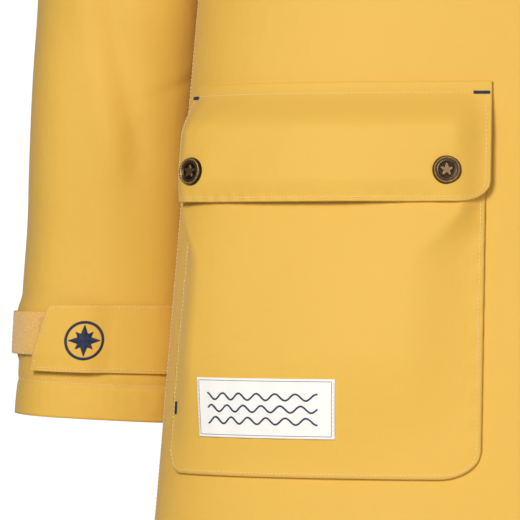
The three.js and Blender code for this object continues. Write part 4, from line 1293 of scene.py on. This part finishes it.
label = cloth_sheet(
    "label", right_wrap, np.linspace(LABEL_INNER, LABEL_OUTER, 120),
    np.linspace(LABEL_LOW, LABEL_HIGH, 60), LABEL_CLOTH, label_inside, WOVEN,
)
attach(label, "coat_body")
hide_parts("pocket_label")


def on_label(path):
    """From millimetres on the label, left to right and bottom to top, to angle and height."""
    path = np.asarray(path, float)
    angle = mix(LABEL_OUTER, LABEL_INNER, path[:, 0] / LABEL_WIDTH)
    return np.stack([angle, LABEL_LOW + path[:, 1]], -1)


marks = Threadwork("label_weave", NAVY)
skin = lambda a, h: label_inside(a, h) + LABEL_CLOTH + 0.02
inset = 1.5
corners = [
    (inset, inset), (LABEL_WIDTH - inset, inset), (LABEL_WIDTH - inset, LABEL_TALL - inset),
    (inset, LABEL_TALL - inset), (inset, inset),
]
for start, end in zip(corners[:-1], corners[1:]):
    marks.sew(right_wrap, on_label(line(*start, *end, 60)), skin, 0.5, 0.75, 0.17)
along = np.linspace(8, LABEL_WIDTH - 8, 160)
for row, height in enumerate((10.0, 17.0, 24.0)):
    crest = height + 1.9 * np.sin(along / 10.5 * 2 * math.pi + row * 1.6)
    marks.sew(right_wrap, on_label(np.stack([along, crest], -1)), skin, 0.45, 0.9, 0.62)
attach(marks.done(), "coat_body")
sewn = Threadwork("label_stitches", THREAD)
seam = 0.675
for x, start, end in (
    (seam, LABEL_TALL - inset, inset), (LABEL_WIDTH - seam, inset, LABEL_TALL - inset)
):
    sewn.sew(right_wrap, on_label(line(x, start, x, end, 30)), skin, 2.4, 1.8, 0.22)
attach(sewn.done(), "coat_body")
print("label done")

# %% Embroidery
ROSE_ANGLE, ROSE_HEIGHT, ROSE_RADIUS = 80.0, 189.0, 12.2
CUFF_RADIUS = 59.0
tab_surface = sided(forearm_surface, "right")
tab_skin = lambda a, h: tab_inside(a, h) + TAB_CLOTH + 0.15


def satin(work, starts, ends):
    """One thread from each start to each end, in millimetres from the middle of the rose."""
    def place(points, extra=0.0):
        angle = ROSE_ANGLE + np.degrees(points[:, 0] / CUFF_RADIUS)
        height = ROSE_HEIGHT + points[:, 1]
        return on(tab_surface, angle, height, tab_skin(angle, height) + extra)

    starts, ends = np.asarray(starts, float), np.asarray(ends, float)
    a, b, middle = place(starts), place(ends), place((starts + ends) / 2)
    length = np.linalg.norm(b - a, axis=1)
    normal = place((starts + ends) / 2, 1.0) - middle
    work.lay(middle, (b - a) / length[:, None], normal, length + 0.3, 0.27, 1.3)


rose = Threadwork("compass_rose", NAVY)
turns = np.linspace(0, 2 * math.pi, 240)[:-1]
ring = np.stack([np.cos(turns), np.sin(turns)], -1)
satin(rose, ring * (ROSE_RADIUS - 1.5), ring * ROSE_RADIUS)
for turn, long, wide, foot in [(k * math.pi / 2, 9.9, 2.7, 2.7) for k in range(4)] + [
    (k * math.pi / 2 + math.pi / 4, 7.6, 1.9, 3.4) for k in range(4)
]:
    axis = np.array([math.sin(turn), math.cos(turn)])
    across = np.array([axis[1], -axis[0]])
    d = np.arange(0.1, long, 0.4)
    half = wide * np.minimum(1, (long - d) / (long - foot)) * np.minimum(1, d / foot)
    satin(rose, axis * d[:, None] - across * half[:, None], axis * d[:, None] + across * half[:, None])
rose = rose.done()
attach(rose, "cuff_tab_right")
print("rose threads", len(rose.data.vertices) // 25)

# %% Hanger loop and neck label
for name, material in (("hanger_loop", WEBBING), ("neck_label", WOVEN)):
    node = frame["nodes"][name]
    node.data.materials.clear()
    node.data.materials.append(material)

for body, work in stitches.items():
    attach(work.done(), body)
for body, work in tacks.items():
    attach(work.done(), body)

# %% [markdown]
# ## Light
# A white room with one soft key light from the upper left.

# %% Light and floor
ROOM_STRENGTH = 0.19
FLOOR_RADIUS, FLOOR_HEIGHT = 0.8, -0.9
BACKDROP_RADIUS, BACKDROP_STRENGTH = 14, 1.05
scene = bpy.context.scene
scene.view_settings.view_transform = "Standard"
world_shader = bpy.data.worlds.new("room")
world_shader.use_nodes = True
world_shader.node_tree.nodes["Background"].inputs["Color"].default_value = (1, 1, 1, 1)
world_shader.node_tree.nodes["Background"].inputs["Strength"].default_value = ROOM_STRENGTH
scene.world = world_shader


def area_light(name, place, target, size, power):
    data = bpy.data.lights.new(name, "AREA")
    data.size, data.energy = size, power
    lamp = bpy.data.objects.new(name, data)
    lamp.location = place
    lamp.rotation_euler = (Vector(target) - Vector(place)).to_track_quat("-Z", "Y").to_euler()
    bpy.context.collection.objects.link(lamp)


area_light("key", (-0.95, -2.4, 0.35), (-0.15, 0, -0.5), 0.7, 57)
area_light("fill", (1.5, -2.3, -0.2), (-0.1, 0, -0.5), 1.4, 14)

floor_mesh = bpy.data.meshes.new("floor")
disc = bmesh.new()
bmesh.ops.create_circle(disc, cap_ends=True, segments=96, radius=FLOOR_RADIUS)
bmesh.ops.translate(disc, verts=disc.verts, vec=(0, 0.05, FLOOR_HEIGHT))
disc.to_mesh(floor_mesh)
disc.free()
floor = bpy.data.objects.new("floor", floor_mesh)
floor_mesh.materials.append(plain_material("floor", "#f4f4f4", 0.9))
bpy.context.collection.objects.link(floor)

# The white backdrop is seen but casts no light of its own.
backdrop_mesh = bpy.data.meshes.new("backdrop")
ball = bmesh.new()
bmesh.ops.create_icosphere(ball, subdivisions=4, radius=BACKDROP_RADIUS)
ball.to_mesh(backdrop_mesh)
ball.free()
backdrop = bpy.data.objects.new("backdrop", backdrop_mesh)
white = bpy.data.materials.new("backdrop")
white.use_nodes = True
white.node_tree.nodes.clear()
glow = add(white.node_tree, "Emission", {"Strength": BACKDROP_STRENGTH})
white.node_tree.links.new(
    glow.outputs["Emission"], add(white.node_tree, "OutputMaterial").inputs["Surface"]
)
backdrop_mesh.materials.append(white)
for kind in ("diffuse", "glossy", "transmission", "shadow"):
    setattr(backdrop, f"visible_{kind}", False)
bpy.context.collection.objects.link(backdrop)
print("lights", 2)
